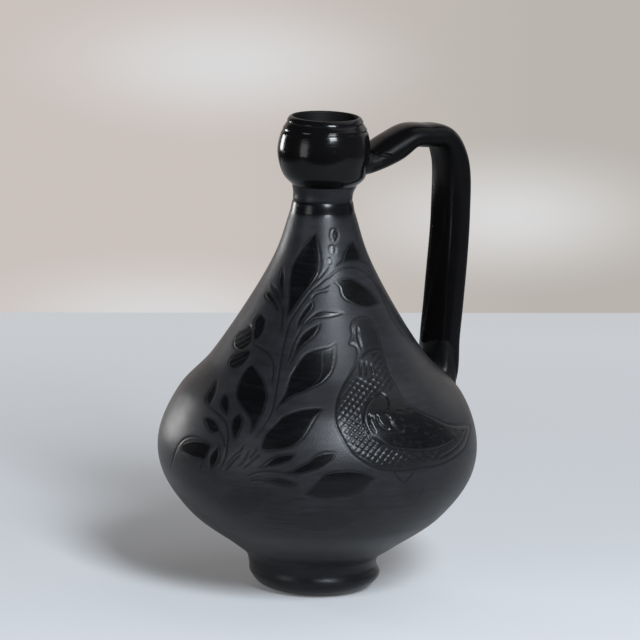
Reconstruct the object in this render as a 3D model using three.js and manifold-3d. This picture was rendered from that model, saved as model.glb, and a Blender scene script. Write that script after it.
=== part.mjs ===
// Black burnished earthenware jug: turned foot, pear-shaped body, beaded neck, globular mouth, strap handle.
// Millimetres, +Z up. The origin is the centre of the foot's flat underside, and the handle lies along +X.
import * as THREE from 'three';
import { mergeVertices } from 'three/addons/utils/BufferGeometryUtils.js';
import Module from 'manifold-3d';

// Foot: a turned disc, bulging below a slight waist, with a flat underside
const FOOT_HEIGHT = 19;
const FOOT_REST_RADIUS = 27;
const FOOT_EDGE_RADIUS = 34;
const FOOT_EDGE_HEIGHT = 3.2;
const FOOT_RADIUS = 37.3;
const FOOT_BULGE_HEIGHT = 8.5;
const FOOT_WAIST_RADIUS = 36.2;
const FOOT_WAIST_HEIGHT = 14;

// Body: radius and height above the foot of each station that its outline passes through
const BODY_BASE_RADIUS = 36.6;
const FLARE_RADIUS = 46;
const FLARE_HEIGHT = 8;
const UNDERSIDE_RADIUS = 72;
const UNDERSIDE_HEIGHT = 26;
const LOWER_BELLY_RADIUS = 88;
const LOWER_BELLY_HEIGHT = 49;
const BELLY_RADIUS = 90;
const BELLY_HEIGHT = 69;
const SHOULDER_RADIUS = 80.5;
const SHOULDER_HEIGHT = 94;
const SLOPE_RADIUS = 62;
const SLOPE_HEIGHT = 114;
const CONE_RADIUS = 42;
const CONE_HEIGHT = 144;
const THROAT_RADIUS = 26;
const THROAT_HEIGHT = 174;
const NECK_SEAT_RADIUS = 17.9;
const BODY_HEIGHT = 198;
const BODY_WALL = 6;
const BODY_FLOOR = 7;

// Neck: a raised bead over the seam, then a waisted collar
const NECK_BORE_RADIUS = 11;
const BEAD_HEIGHT = 6;
const BEAD_BULGE = 0.5;
const COLLAR_HEIGHT = 8.5;
const COLLAR_FOOT_RADIUS = 16.7;
const COLLAR_WAIST_RADIUS = 16;
const COLLAR_TOP_RADIUS = 17.2;

// Mouth: a globular bulb that carries a rolled lip
const BULB_HEIGHT = 33;
const BULB_RADIUS = 25.8;
const BULB_BELLY_HEIGHT = 19;
const BULB_UNDERSIDE_RADIUS = 21.9;
const BULB_UNDERSIDE_HEIGHT = 6.5;
const BULB_SHOULDER_RADIUS = 24.3;
const BULB_SHOULDER_HEIGHT = 29.5;
const BULB_WALL = 5;
const MOUTH_RADIUS = 17.4;
const LIP_HEIGHT = 5.5;
const LIP_SEAT_RADIUS = 20.1;
const LIP_RADIUS = 20.6;

// Handle: a pulled strap, thinnest where it turns over the crest
const STRAP_WIDTH = 28.5;
const ROOT_THICKNESS = 13.6;
const CREST_THICKNESS = 9.8;
const GRIP_THICKNESS = 14;
const HANDLE_REACH = 82;
const GRIP_BOW = 1.2;
const BEND_RADIUS = 16;
const CREST_RISE = 27.6;
const ARCH_REACH = 42;
const ARCH_RISE = 20.4;
const UPPER_ROOT_RISE = 11.5;
const BOW_DROP = 47;
const LEAN_HEIGHT = 143;
const GRIP_LEAN = 2.4;
const LOWER_ROOT_HEIGHT = 99;
const ROOT_DEPTH = 12;

// Luting: soft clay pressed round each end of the strap
const UPPER_LUTING_LENGTH = 10;
const UPPER_LUTING_FLARE = 1.4;
const LOWER_LUTING_LENGTH = 22;
const LOWER_LUTING_FLARE = 1.6;
const LUTING_EDGE = 1.2;

// Joints: tenons sit in their seats with a slip gap
const TENON_HEIGHT = 3;
const FOOT_TENON_RADIUS = 24;
const SLIP_GAP = 0.3;

// Facets
const ROUND_STEPS = 44;
const BODY_STEPS = 24;
const BULB_STEPS = 9;
const BEAD_STEPS = 4;
const LIP_STEPS = 6;
const STRAP_STEPS = 38;
const STATION_STEPS = 40;
const SECTION_STEPS = 16;
const SECTION_POWER = 4;

const wasm = await Module();
wasm.setup();

// Heights of the seams, from the table up
const BODY_SEAM = FOOT_HEIGHT;
const BEAD_SEAM = BODY_SEAM + BODY_HEIGHT;
const COLLAR_SEAM = BEAD_SEAM + BEAD_HEIGHT;
const BULB_SEAM = COLLAR_SEAM + COLLAR_HEIGHT;
const LIP_SEAM = BULB_SEAM + BULB_HEIGHT;

// A smooth outline of [radius, height] points through a few stations
function outlineThrough(stations, steps) {
  const points = stations.map(([radius, height]) => new THREE.Vector3(radius, height, 0));
  const curve = new THREE.CatmullRomCurve3(points, false, 'centripetal');
  return curve.getSpacedPoints(steps).map((point) => [point.x, point.y]);
}

// The outline moved along its own normal: outwards for a positive distance
function offsetOutline(outline, distance) {
  return outline.map(([radius, height], index) => {
    const [r0, z0] = outline[Math.max(index - 1, 0)];
    const [r1, z1] = outline[Math.min(index + 1, outline.length - 1)];
    const length = Math.hypot(r1 - r0, z1 - z0);
    return [radius + distance * (z1 - z0) / length, height - distance * (r1 - r0) / length];
  });
}

// Radius of an upright outline at one height
function radiusAt(outline, height) {
  const above = Math.max(outline.findIndex(([, z]) => z >= height), 1);
  const [r0, z0] = outline[above - 1];
  const [r1, z1] = outline[above];
  return r0 + (r1 - r0) * (height - z0) / (z1 - z0);
}

// Points of an outline strictly between two heights
const between = (outline, low, high) => outline.filter(([, z]) => z > low && z < high);

// A turned piece: the outline runs up the outside and down the inside
function turned(outline) {
  const points = outline.map(([radius, height]) => new THREE.Vector2(radius, height));
  return new THREE.LatheGeometry(points, ROUND_STEPS).rotateX(Math.PI / 2);
}

// A turned ring closes its outline on itself
const turnedRing = (outline) => turned([...outline, outline[0]]);

function solidOf(geometry) {
  const bare = geometry.clone();
  bare.deleteAttribute('normal');
  bare.deleteAttribute('uv');
  const merged = mergeVertices(bare, 1e-4);
  const vertProperties = new Float32Array(merged.getAttribute('position').array);
  const triVerts = new Uint32Array(merged.index.array);
  return new wasm.Manifold(new wasm.Mesh({ numProp: 3, vertProperties, triVerts }));
}

function geometryOf(solid) {
  const mesh = solid.getMesh();
  const geometry = new THREE.BufferGeometry();
  geometry.setAttribute('position', new THREE.BufferAttribute(mesh.vertProperties, 3));
  geometry.setIndex(new THREE.BufferAttribute(mesh.triVerts, 1));
  geometry.computeVertexNormals();
  return geometry;
}

// Outlines of the pieces that the handle joins, and of the collar between them
const bodyOutline = outlineThrough([
  [BODY_BASE_RADIUS, 0],
  [FLARE_RADIUS, FLARE_HEIGHT],
  [UNDERSIDE_RADIUS, UNDERSIDE_HEIGHT],
  [LOWER_BELLY_RADIUS, LOWER_BELLY_HEIGHT],
  [BELLY_RADIUS, BELLY_HEIGHT],
  [SHOULDER_RADIUS, SHOULDER_HEIGHT],
  [SLOPE_RADIUS, SLOPE_HEIGHT],
  [CONE_RADIUS, CONE_HEIGHT],
  [THROAT_RADIUS, THROAT_HEIGHT],
  [NECK_SEAT_RADIUS, BODY_HEIGHT],
], BODY_STEPS).map(([radius, height]) => [radius, height + BODY_SEAM]);

const collarOutline = outlineThrough([
  [COLLAR_FOOT_RADIUS, 0],
  [COLLAR_WAIST_RADIUS, COLLAR_HEIGHT / 2],
  [COLLAR_TOP_RADIUS, COLLAR_HEIGHT],
], BEAD_STEPS).map(([radius, height]) => [radius, height + COLLAR_SEAM]);

const bulbOutline = outlineThrough([
  [COLLAR_TOP_RADIUS, 0],
  [BULB_UNDERSIDE_RADIUS, BULB_UNDERSIDE_HEIGHT],
  [BULB_RADIUS, BULB_BELLY_HEIGHT],
  [BULB_SHOULDER_RADIUS, BULB_SHOULDER_HEIGHT],
  [LIP_SEAT_RADIUS, BULB_HEIGHT],
], BULB_STEPS).map(([radius, height]) => [radius, height + BULB_SEAM]);

// Radius of the tenon that centres the neck on the body
const NECK_TENON_RADIUS = (NECK_BORE_RADIUS + NECK_SEAT_RADIUS) / 2;

function footGeometry() {
  const seatFloor = FOOT_HEIGHT - TENON_HEIGHT - SLIP_GAP;
  const side = outlineThrough([
    [FOOT_REST_RADIUS, 0],
    [FOOT_EDGE_RADIUS, FOOT_EDGE_HEIGHT],
    [FOOT_RADIUS, FOOT_BULGE_HEIGHT],
    [FOOT_WAIST_RADIUS, FOOT_WAIST_HEIGHT],
    [BODY_BASE_RADIUS, FOOT_HEIGHT],
  ], BULB_STEPS);
  return turned([
    [0, 0],
    ...side,
    [FOOT_TENON_RADIUS + SLIP_GAP, FOOT_HEIGHT],
    [FOOT_TENON_RADIUS + SLIP_GAP, seatFloor],
    [0, seatFloor],
  ]);
}

function bodyGeometry() {
  const floor = BODY_SEAM + BODY_FLOOR;
  const inside = between(offsetOutline(bodyOutline, -BODY_WALL), floor, BEAD_SEAM)
    .filter(([radius]) => radius > NECK_BORE_RADIUS);
  return turned([
    [0, BODY_SEAM - TENON_HEIGHT],
    [FOOT_TENON_RADIUS, BODY_SEAM - TENON_HEIGHT],
    [FOOT_TENON_RADIUS, BODY_SEAM],
    ...bodyOutline,
    [NECK_TENON_RADIUS, BEAD_SEAM],
    [NECK_TENON_RADIUS, COLLAR_SEAM],
    [NECK_BORE_RADIUS, COLLAR_SEAM],
    [NECK_BORE_RADIUS, BEAD_SEAM],
    ...inside.reverse(),
    [inside.at(-1)[0] - BODY_WALL, floor],
    [0, floor],
  ]);
}

function beadGeometry() {
  const bore = NECK_TENON_RADIUS + SLIP_GAP;
  const round = [];
  for (let step = 0; step <= BEAD_STEPS; step += 1) {
    const share = step / BEAD_STEPS;
    const edge = NECK_SEAT_RADIUS + (COLLAR_FOOT_RADIUS - NECK_SEAT_RADIUS) * share;
    round.push([edge + BEAD_BULGE * Math.sin(Math.PI * share), BEAD_SEAM + BEAD_HEIGHT * share]);
  }
  return turnedRing([[bore, BEAD_SEAM], ...round, [bore, COLLAR_SEAM]]);
}

function collarGeometry() {
  const seat = (NECK_BORE_RADIUS + COLLAR_TOP_RADIUS) / 2 + SLIP_GAP;
  const seatFloor = BULB_SEAM - TENON_HEIGHT - SLIP_GAP;
  return turnedRing([
    [NECK_BORE_RADIUS, COLLAR_SEAM],
    ...collarOutline,
    [seat, BULB_SEAM],
    [seat, seatFloor],
    [NECK_BORE_RADIUS, seatFloor],
  ]);
}

function bulbGeometry() {
  const tenon = (NECK_BORE_RADIUS + COLLAR_TOP_RADIUS) / 2;
  const inside = between(offsetOutline(bulbOutline, -BULB_WALL), BULB_SEAM, LIP_SEAM)
    .filter(([radius]) => radius > MOUTH_RADIUS);
  return turnedRing([
    [NECK_BORE_RADIUS, BULB_SEAM - TENON_HEIGHT],
    [tenon, BULB_SEAM - TENON_HEIGHT],
    [tenon, BULB_SEAM],
    ...bulbOutline,
    [MOUTH_RADIUS, LIP_SEAM],
    ...inside.reverse(),
  ]);
}

function lipGeometry() {
  const round = (LIP_RADIUS - MOUTH_RADIUS) / 2;
  const centre = LIP_SEAM + LIP_HEIGHT - round;
  const crest = [];
  for (let step = 0; step <= LIP_STEPS; step += 1) {
    const angle = Math.PI * step / LIP_STEPS;
    crest.push([MOUTH_RADIUS + round + round * Math.cos(angle), centre + round * Math.sin(angle)]);
  }
  return turnedRing([[MOUTH_RADIUS, LIP_SEAM], [LIP_SEAT_RADIUS, LIP_SEAM], ...crest]);
}

// The strap's middle line, from inside the bulb, over the arch and down into the shoulder
function strapPath() {
  const upperRoot = BULB_SEAM + UPPER_ROOT_RISE;
  const lowerRoot = BODY_SEAM + LOWER_ROOT_HEIGHT;
  const bulbFace = radiusAt(bulbOutline, upperRoot);
  const shoulderFace = radiusAt(bodyOutline, lowerRoot);
  const crest = BULB_SEAM + CREST_RISE;
  const bendReach = HANDLE_REACH - GRIP_BOW;
  const diagonal = BEND_RADIUS * (1 - Math.SQRT1_2);
  const points = [
    [bulbFace - ROOT_DEPTH, upperRoot - UPPER_LUTING_FLARE],
    [bulbFace, upperRoot],
    [ARCH_REACH, BULB_SEAM + ARCH_RISE],
    [bendReach - BEND_RADIUS, crest],
    [bendReach - diagonal, crest - diagonal],
    [bendReach, crest - BEND_RADIUS],
    [HANDLE_REACH, crest - BOW_DROP],
    [HANDLE_REACH - GRIP_LEAN, BODY_SEAM + LEAN_HEIGHT],
    [shoulderFace, lowerRoot],
    [shoulderFace - BODY_WALL, lowerRoot - ROOT_DEPTH],
  ];
  const stations = points.map(([x, z]) => new THREE.Vector3(x, 0, z));
  const curve = new THREE.CatmullRomCurve3(stations, false, 'centripetal');
  curve.arcLengthDivisions = STATION_STEPS * (stations.length - 1);
  const lengths = curve.getLengths();
  const [archLength, crestLength, gripLength] = [2, 3, 6].map((station) => lengths[STATION_STEPS * station]);
  return { curve, archLength, crestLength, gripLength, total: lengths.at(-1) };
}

// A closed loft along the strap's line: growth adds to both half sizes, and edges are lengths with a ring
function strapLoft(path, fromLength, toLength, growth, edges) {
  const { curve, archLength, crestLength, gripLength, total } = path;
  const span = toLength - fromLength;
  const steps = Math.max(4, Math.round(STRAP_STEPS * span / total));
  const positions = [];
  const indices = [];
  const ring = (length) => {
    const share = length / total;
    const middle = curve.getPointAt(share);
    const along = curve.getTangentAt(share);
    const outward = new THREE.Vector3(-along.z, 0, along.x);
    const overArch = THREE.MathUtils.smoothstep(length, archLength, crestLength);
    const downGrip = THREE.MathUtils.smoothstep(length, crestLength, gripLength);
    const arch = THREE.MathUtils.lerp(ROOT_THICKNESS, CREST_THICKNESS, overArch);
    const thickness = THREE.MathUtils.lerp(arch, GRIP_THICKNESS, downGrip);
    const halfWidth = STRAP_WIDTH / 2 + growth(length);
    const halfThickness = thickness / 2 + growth(length);
    for (let step = 0; step < SECTION_STEPS; step += 1) {
      const angle = (step + 0.5) * 2 * Math.PI / SECTION_STEPS;
      const round = (value) => Math.sign(value) * Math.abs(value) ** (2 / SECTION_POWER);
      const point = middle.clone().addScaledVector(outward, halfThickness * round(Math.sin(angle)));
      positions.push(point.x, halfWidth * round(Math.cos(angle)), point.z);
    }
  };
  const lengths = edges.filter((edge) => edge > fromLength && edge < toLength);
  for (let step = 0; step <= steps; step += 1) {
    lengths.push(fromLength + span * step / steps);
  }
  lengths.sort((a, b) => a - b).forEach(ring);
  const rows = lengths.length - 1;
  for (let row = 0; row < rows; row += 1) {
    for (let step = 0; step < SECTION_STEPS; step += 1) {
      const next = (step + 1) % SECTION_STEPS;
      const a = row * SECTION_STEPS + step;
      const b = row * SECTION_STEPS + next;
      indices.push(a, b, b + SECTION_STEPS, a, b + SECTION_STEPS, a + SECTION_STEPS);
    }
  }
  const last = rows * SECTION_STEPS;
  for (let step = 1; step < SECTION_STEPS - 1; step += 1) {
    indices.push(0, step + 1, step, last, last + step, last + step + 1);
  }
  const geometry = new THREE.BufferGeometry();
  geometry.setAttribute('position', new THREE.Float32BufferAttribute(positions, 3));
  geometry.setIndex(indices);
  return geometry;
}

// The outside of a turned piece grown by the slip gap, to cut what is pressed against it
function seatCutter(outline) {
  const grown = offsetOutline(outline, SLIP_GAP);
  return solidOf(turned([[0, grown[0][1]], ...grown, [0, grown.at(-1)[1]]]));
}

// Length along the strap's line at which it comes out of, or goes into, a turned outline
function faceLength({ curve, total }, outline, fromEnd) {
  const probe = (length) => curve.getPointAt(fromEnd ? 1 - length / total : length / total);
  let length = 0;
  while (probe(length).x < radiusAt(outline, probe(length).z)) {
    length += SLIP_GAP;
  }
  return fromEnd ? total - length : length;
}

const path = strapPath();
const neckSeat = seatCutter([...collarOutline, ...bulbOutline.slice(1)]);
const bodySeat = seatCutter(bodyOutline);
const upperFace = faceLength(path, bulbOutline, false);
const lowerFace = faceLength(path, bodyOutline, true);
const upperEdge = upperFace + UPPER_LUTING_LENGTH;
const lowerEdge = lowerFace - LOWER_LUTING_LENGTH;

// Share of the way from a sleeve's free edge, 0, to the wall that it is pressed on, 1
const upperShare = (length) => (upperEdge - length) / UPPER_LUTING_LENGTH;
const lowerShare = (length) => (length - lowerEdge) / LOWER_LUTING_LENGTH;
const flared = (share, flare) => flare * THREE.MathUtils.clamp(share, 0, 1) ** 2;

// The strap is pared down where the clay covers it, in a short step, so that the two run on flush
const paringStart = upperEdge + SLIP_GAP;
const paringEnd = lowerEdge - SLIP_GAP;
const paringEdges = [paringStart, paringStart + SLIP_GAP, paringEnd - SLIP_GAP, paringEnd];

function pared(length) {
  return length <= paringStart || length >= paringEnd ? -LUTING_EDGE : 0;
}

function strapGeometry() {
  const strap = solidOf(strapLoft(path, 0, path.total, pared, paringEdges));
  return geometryOf(strap.subtract(neckSeat).subtract(bodySeat));
}

// A sleeve of clay round one end of the strap, thickest against the vessel's wall
function lutingGeometry(fromLength, toLength, growth, seat) {
  const sleeve = solidOf(strapLoft(path, fromLength, toLength, growth, []));
  const bed = solidOf(strapLoft(path, 0, path.total, (length) => pared(length) + SLIP_GAP, paringEdges));
  return geometryOf(sleeve.subtract(bed).subtract(seat));
}

const upperLutingGeometry = () => lutingGeometry(
  0,
  upperEdge,
  (length) => flared(upperShare(length), UPPER_LUTING_FLARE),
  neckSeat,
);

const lowerLutingGeometry = () => lutingGeometry(
  lowerEdge,
  path.total,
  (length) => flared(lowerShare(length), LOWER_LUTING_FLARE),
  bodySeat,
);

// Finishes
const burnished = new THREE.MeshStandardMaterial({ color: '#161719', roughness: 0.25, metalness: 0 });
const graphite = new THREE.MeshStandardMaterial({ color: '#2c2d2f', roughness: 0.5, metalness: 0 });

function piece(name, geometry, material) {
  const mesh = new THREE.Mesh(geometry, material);
  mesh.name = name;
  return mesh;
}

const jug = new THREE.Group();
jug.add(piece('foot', footGeometry(), burnished));
jug.add(piece('body', bodyGeometry(), graphite));
jug.add(piece('neck_bead', beadGeometry(), burnished));
jug.add(piece('neck_collar', collarGeometry(), burnished));
jug.add(piece('mouth_bulb', bulbGeometry(), burnished));
jug.add(piece('rim_lip', lipGeometry(), burnished));
jug.add(piece('handle_strap', strapGeometry(), burnished));
jug.add(piece('upper_handle_luting', upperLutingGeometry(), burnished));
jug.add(piece('lower_handle_luting', lowerLutingGeometry(), burnished));

export default jug;
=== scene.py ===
"""A burnished black earthenware jug with carved birds and leaves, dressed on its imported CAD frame."""

import math

import bpy
import numpy as np
from bpy.props import FloatProperty, FloatVectorProperty, IntProperty, PointerProperty
from mathutils import Matrix, Vector


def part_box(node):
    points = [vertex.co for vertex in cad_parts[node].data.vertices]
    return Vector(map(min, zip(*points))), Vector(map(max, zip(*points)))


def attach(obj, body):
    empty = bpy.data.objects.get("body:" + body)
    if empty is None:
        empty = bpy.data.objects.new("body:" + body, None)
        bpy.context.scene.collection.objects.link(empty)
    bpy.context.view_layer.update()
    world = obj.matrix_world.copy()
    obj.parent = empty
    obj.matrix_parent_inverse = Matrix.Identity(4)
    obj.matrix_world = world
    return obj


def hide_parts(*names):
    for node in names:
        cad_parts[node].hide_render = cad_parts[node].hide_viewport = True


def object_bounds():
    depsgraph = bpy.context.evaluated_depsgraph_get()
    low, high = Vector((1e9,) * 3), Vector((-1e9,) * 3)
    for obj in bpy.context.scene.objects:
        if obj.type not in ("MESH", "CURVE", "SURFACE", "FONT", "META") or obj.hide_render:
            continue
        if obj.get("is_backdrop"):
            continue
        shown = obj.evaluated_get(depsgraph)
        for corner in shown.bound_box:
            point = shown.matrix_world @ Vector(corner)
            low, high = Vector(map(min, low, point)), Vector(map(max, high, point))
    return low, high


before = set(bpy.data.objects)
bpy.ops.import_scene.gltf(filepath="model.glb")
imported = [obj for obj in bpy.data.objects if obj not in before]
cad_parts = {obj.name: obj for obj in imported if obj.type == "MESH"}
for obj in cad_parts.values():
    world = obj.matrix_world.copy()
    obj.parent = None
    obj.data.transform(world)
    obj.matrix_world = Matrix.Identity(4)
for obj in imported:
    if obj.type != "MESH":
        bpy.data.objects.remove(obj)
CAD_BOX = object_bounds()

bl_info = {
    "name": "Carved Black Jug",
    "version": (1, 0, 0),
    "blender": (4, 5, 0),
    "location": "View3D > Sidebar > Jug",
    "description": "Builds a carved, burnished black earthenware jug on its CAD frame",
    "category": "Object",
}

MM = 0.001
BODY = "root"

# Seam heights in millimetres above the table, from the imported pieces
BODY_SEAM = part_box("foot")[1].z / MM
BEAD_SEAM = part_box("neck_bead")[0].z / MM
COLLAR_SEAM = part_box("neck_bead")[1].z / MM
BULB_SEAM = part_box("neck_collar")[1].z / MM
LIP_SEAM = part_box("rim_lip")[0].z / MM
RIM_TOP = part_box("rim_lip")[1].z / MM

# The photograph's camera, in millimetres, degrees and pixels
FRAME_PX = 640
FOCAL_PX = 3630
SENSOR_MM = 36
CAMERA_DISTANCE = 2015
CAMERA_HEIGHT = 538
CAMERA_TURN = math.radians(27)
CAMERA_PITCH = math.radians(10.79)
CAMERA_ROLL = math.radians(1.40)

# Directions of that camera: to the right of the picture, up it and away into it
LEVEL_RIGHT = np.array([math.cos(CAMERA_TURN), -math.sin(CAMERA_TURN), 0.0])
LEVEL_AWAY = np.array([math.sin(CAMERA_TURN), math.cos(CAMERA_TURN), 0.0])
UPRIGHT = np.array([0.0, 0.0, 1.0])
CAMERA_AWAY = math.cos(CAMERA_PITCH) * LEVEL_AWAY - math.sin(CAMERA_PITCH) * UPRIGHT
LEVEL_UP = math.sin(CAMERA_PITCH) * LEVEL_AWAY + math.cos(CAMERA_PITCH) * UPRIGHT
CAMERA_RIGHT = math.cos(CAMERA_ROLL) * LEVEL_RIGHT + math.sin(CAMERA_ROLL) * LEVEL_UP
CAMERA_UP = math.cos(CAMERA_ROLL) * LEVEL_UP - math.sin(CAMERA_ROLL) * LEVEL_RIGHT
CAMERA_PLACE = CAMERA_HEIGHT * UPRIGHT - CAMERA_DISTANCE * LEVEL_AWAY

# Carved leaves, as the photograph shows them: two edges in pixels, each from base to tip
LEAVES_PX = {
    "upper_leaf": (
        ((286, 319), (287.5, 312), (288.5, 304), (289, 294), (289.5, 284), (290.5, 275), (292.5, 266),
         (296, 259), (301, 251), (307, 242.5), (312, 237), (316.5, 231.5)),
        ((286, 319), (293, 309), (301, 298), (310, 286.5), (315, 279.5), (319, 272), (320.5, 265),
         (320.3, 257), (319, 249), (317.3, 240), (316.5, 231.5)),
    ),
    "thin_sprig": (
        ((282.5, 300), (281, 294), (279.5, 287), (279, 280), (280.3, 271.5), (282.2, 266)),
        ((282.5, 300), (283, 289), (283.6, 279), (283, 271), (282.2, 266)),
    ),
    "side_bud": (
        ((279, 311.5), (273, 304.5), (268, 300), (265, 296), (266.5, 292), (268.5, 290)),
        ((279, 311.5), (276.5, 304), (273.5, 298), (271, 293), (268.5, 290)),
    ),
    "side_leaf": (
        ((281, 304), (277, 298), (274, 292), (271, 283.5)),
        ((281, 304), (279.5, 298), (277, 291), (273.5, 286), (271, 283.5)),
    ),
    "right_leaf": (
        ((335, 268.5), (338, 265), (342.5, 261), (345, 253), (349, 245), (353, 241.5)),
        ((335, 268.5), (342, 263.5), (350, 260.8), (358, 260.5), (361, 257), (358, 250), (353, 241.5)),
    ),
    "drooping_leaf": (
        ((334, 282), (341, 279.5), (350, 278.5), (357, 281), (365, 287), (372, 293), (377, 299),
         (380, 303.5)),
        ((334, 282), (339.5, 287), (341.5, 294), (345, 299), (353, 303.5), (360, 306), (370, 306.7),
         (380, 303.5)),
    ),
    "narrow_leaf_high": (
        ((297, 328), (298, 322), (302, 314), (307, 307), (313, 300.5)),
        ((297, 328), (301, 323.5), (305.5, 317.5), (310, 312), (313.5, 305.5), (313, 300.5)),
    ),
    "pale_leaf": (
        ((303, 325), (309, 319), (315, 314), (321, 311), (330, 311), (344, 313)),
        ((303, 325), (309, 322.5), (314, 318.5), (321, 317.5), (332, 316), (344, 313)),
    ),
    "narrow_leaf_low": (
        ((290, 365), (293, 356), (298, 343), (302, 335.5), (309, 329.5), (315, 326), (320.5, 323)),
        ((290, 365), (295, 355), (301, 347), (307, 342), (314, 336), (318, 330), (320.5, 323)),
    ),
    "broad_leaf": (
        ((275.5, 409), (281.4, 399.5), (286, 391), (288.6, 382), (291, 375), (295, 368.5), (300, 360.5),
         (304.6, 355), (310, 351.5), (316.6, 349.5), (323, 348), (330, 346.5), (335.5, 342)),
        ((275.5, 409), (281.5, 404.5), (288.5, 399), (295, 395), (303, 392.3), (311, 388.4), (320.6, 383.6),
         (326, 379), (331, 373), (334, 364.5), (335.3, 356.5), (335.8, 349), (335.5, 342)),
    ),
    "belly_leaf": (
        ((260, 448.5), (262, 442), (266, 433.5), (271, 428.5), (277.5, 422), (282, 417.3), (288.6, 414),
         (295, 411.5), (303, 409.5), (311, 408.6), (319, 408), (324, 409)),
        ((260, 448.5), (264, 451), (275, 450.5), (285, 449), (293, 446), (300, 441), (305, 435.5),
         (310, 427.5), (314, 420.5), (318, 414.5), (324, 409)),
    ),
    "middle_leaf": (
        ((250, 434), (251, 424), (247.7, 415.7), (244, 410), (239.3, 403.6), (236.2, 397), (237, 388.7),
         (239.3, 381), (243, 373.7), (247, 368), (252, 364.3)),
        ((250, 434), (254, 428), (259, 418.5), (263.6, 410), (265.6, 402.7), (266.9, 396), (265.5, 387),
         (262.7, 379.3), (259, 373.7), (255.2, 368), (252, 364.3)),
    ),
    "small_leaf": (
        ((226.3, 416), (222.5, 410), (219.8, 403.6), (221.6, 398), (225.3, 393.3)),
        ((226.3, 416), (228.6, 408.3), (228.7, 401), (227.3, 396), (225.3, 393.3)),
    ),
    "curled_leaf": (
        ((208.5, 405.5), (205.8, 400), (206.7, 395), (209.5, 389.6), (213, 384), (216.5, 379)),
        ((208.5, 405.5), (211, 402), (213.5, 396), (215.3, 391.5), (216.5, 385), (216.5, 379)),
    ),
    "round_bud": (
        ((219.7, 431), (214, 433), (210, 431.5), (207.5, 427.5), (205, 422), (204.3, 418)),
        ((219.7, 431), (218.5, 426.5), (216, 422.3), (212, 418.6), (208, 417.5), (204.3, 418)),
    ),
    "stem_leaf": (
        ((235, 440), (232, 434), (231.5, 425), (233.8, 417.6), (239.5, 413)),
        ((235, 440), (238.5, 432.5), (241.2, 426), (242, 418), (239.5, 413)),
    ),
    "arched_leaf": (
        ((204, 460), (208, 453), (210.5, 446), (205, 442.5), (195, 440.5), (186, 442), (180.5, 447)),
        ((204, 460), (195, 458), (188, 455), (183, 451.5), (180.5, 447)),
    ),
    "root_leaf": (
        ((211, 470), (209.5, 464), (210, 458), (213, 452), (218.5, 446)),
        ((211, 470), (216, 464), (219, 456), (219.5, 450), (218.5, 446)),
    ),
    "low_narrow_leaf": (
        ((258, 469), (264, 464.5), (270, 460), (277, 456), (285, 454.5), (295, 454.3)),
        ((258, 469), (268, 467.3), (275, 466), (284, 463), (291, 460.5), (295, 454.3)),
    ),
    "long_leaf": (
        ((282, 473), (292, 471), (297, 468), (308, 462), (315, 456.3), (325, 452.6), (336, 452.6)),
        ((282, 473), (298, 474.5), (308, 472.5), (319, 469), (327, 464), (333, 459), (336, 452.6)),
    ),
    "low_slip_leaf": (
        ((263.5, 481), (272, 478.5), (282, 479), (289, 481), (297.5, 484.3)),
        ((263.5, 481), (272, 483.3), (280, 485.5), (290, 486.3), (297.5, 484.3)),
    ),
    "low_broad_leaf": (
        ((304, 495), (311, 489), (319, 481), (324, 475.5), (331, 472.5), (341, 471.2), (352, 471),
         (361, 472.5), (369, 475.5), (377.5, 477.8)),
        ((304, 495), (316, 497.5), (328, 498.5), (340, 497.3), (350, 496), (359, 492), (365, 488),
         (370, 482.5), (377.5, 477.8)),
    ),
    "left_berry": (
        ((333.8, 243), (330.8, 239.5), (330.2, 234), (331.5, 229.8), (333.8, 228.5)),
        ((333.8, 243), (337, 239.5), (338, 234), (336.3, 229.8), (333.8, 228.5)),
    ),
    "middle_berry": (
        ((332.4, 255), (329.6, 251.5), (329.6, 247.5), (332, 244.7)),
        ((332.4, 255), (335.4, 251.5), (335.2, 247.5), (332, 244.7)),
    ),
    "small_berry": (
        ((329, 265), (327.4, 261.5), (329.5, 257.3)),
        ((329, 265), (331.4, 261.5), (329.5, 257.3)),
    ),
    "dark_petal": (
        ((254, 340), (252.5, 335), (253.3, 328), (254.3, 320.5), (257, 316), (261.3, 313)),
        ((254, 340), (258, 338), (261, 334.5), (263.7, 328), (265, 319), (261.3, 313)),
    ),
    "left_petal": (
        ((251, 343), (246, 347), (240.5, 350.2), (235.6, 348.5), (233.3, 344), (234.7, 337.3)),
        ((251, 343), (251.3, 334.5), (249.7, 325), (244, 327), (238.4, 331.7), (234.7, 337.3)),
    ),
    "low_petal": (
        ((250.5, 350), (244, 350.4), (237.5, 352.3), (232, 356), (228.3, 362.5), (229.2, 367)),
        ((250.5, 350), (248.7, 356), (244, 362.5), (239.3, 366.7), (233.7, 368.6), (229.2, 367)),
    ),
}

# Leaves that are only scratched in, near the foot
FAINT_LEAVES_PX = {
    "shadow_leaf": (
        ((220, 503), (224, 497), (230, 492), (238, 488.3), (250, 487), (260, 489), (270, 490.5),
         (278, 492)),
        ((220, 503), (228, 512), (240, 514), (251, 511), (257, 506), (263, 500), (269, 495), (278, 492)),
    ),
    "foot_leaf": (
        ((285, 520), (295, 517), (303, 514.5), (315, 512.5), (330, 512), (342, 513), (350, 516),
         (356, 519.5)),
        ((285, 520), (295, 524), (303, 527.5), (313, 529), (325, 529.5), (340, 528), (350, 523.5),
         (356, 519.5)),
    ),
}

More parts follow.
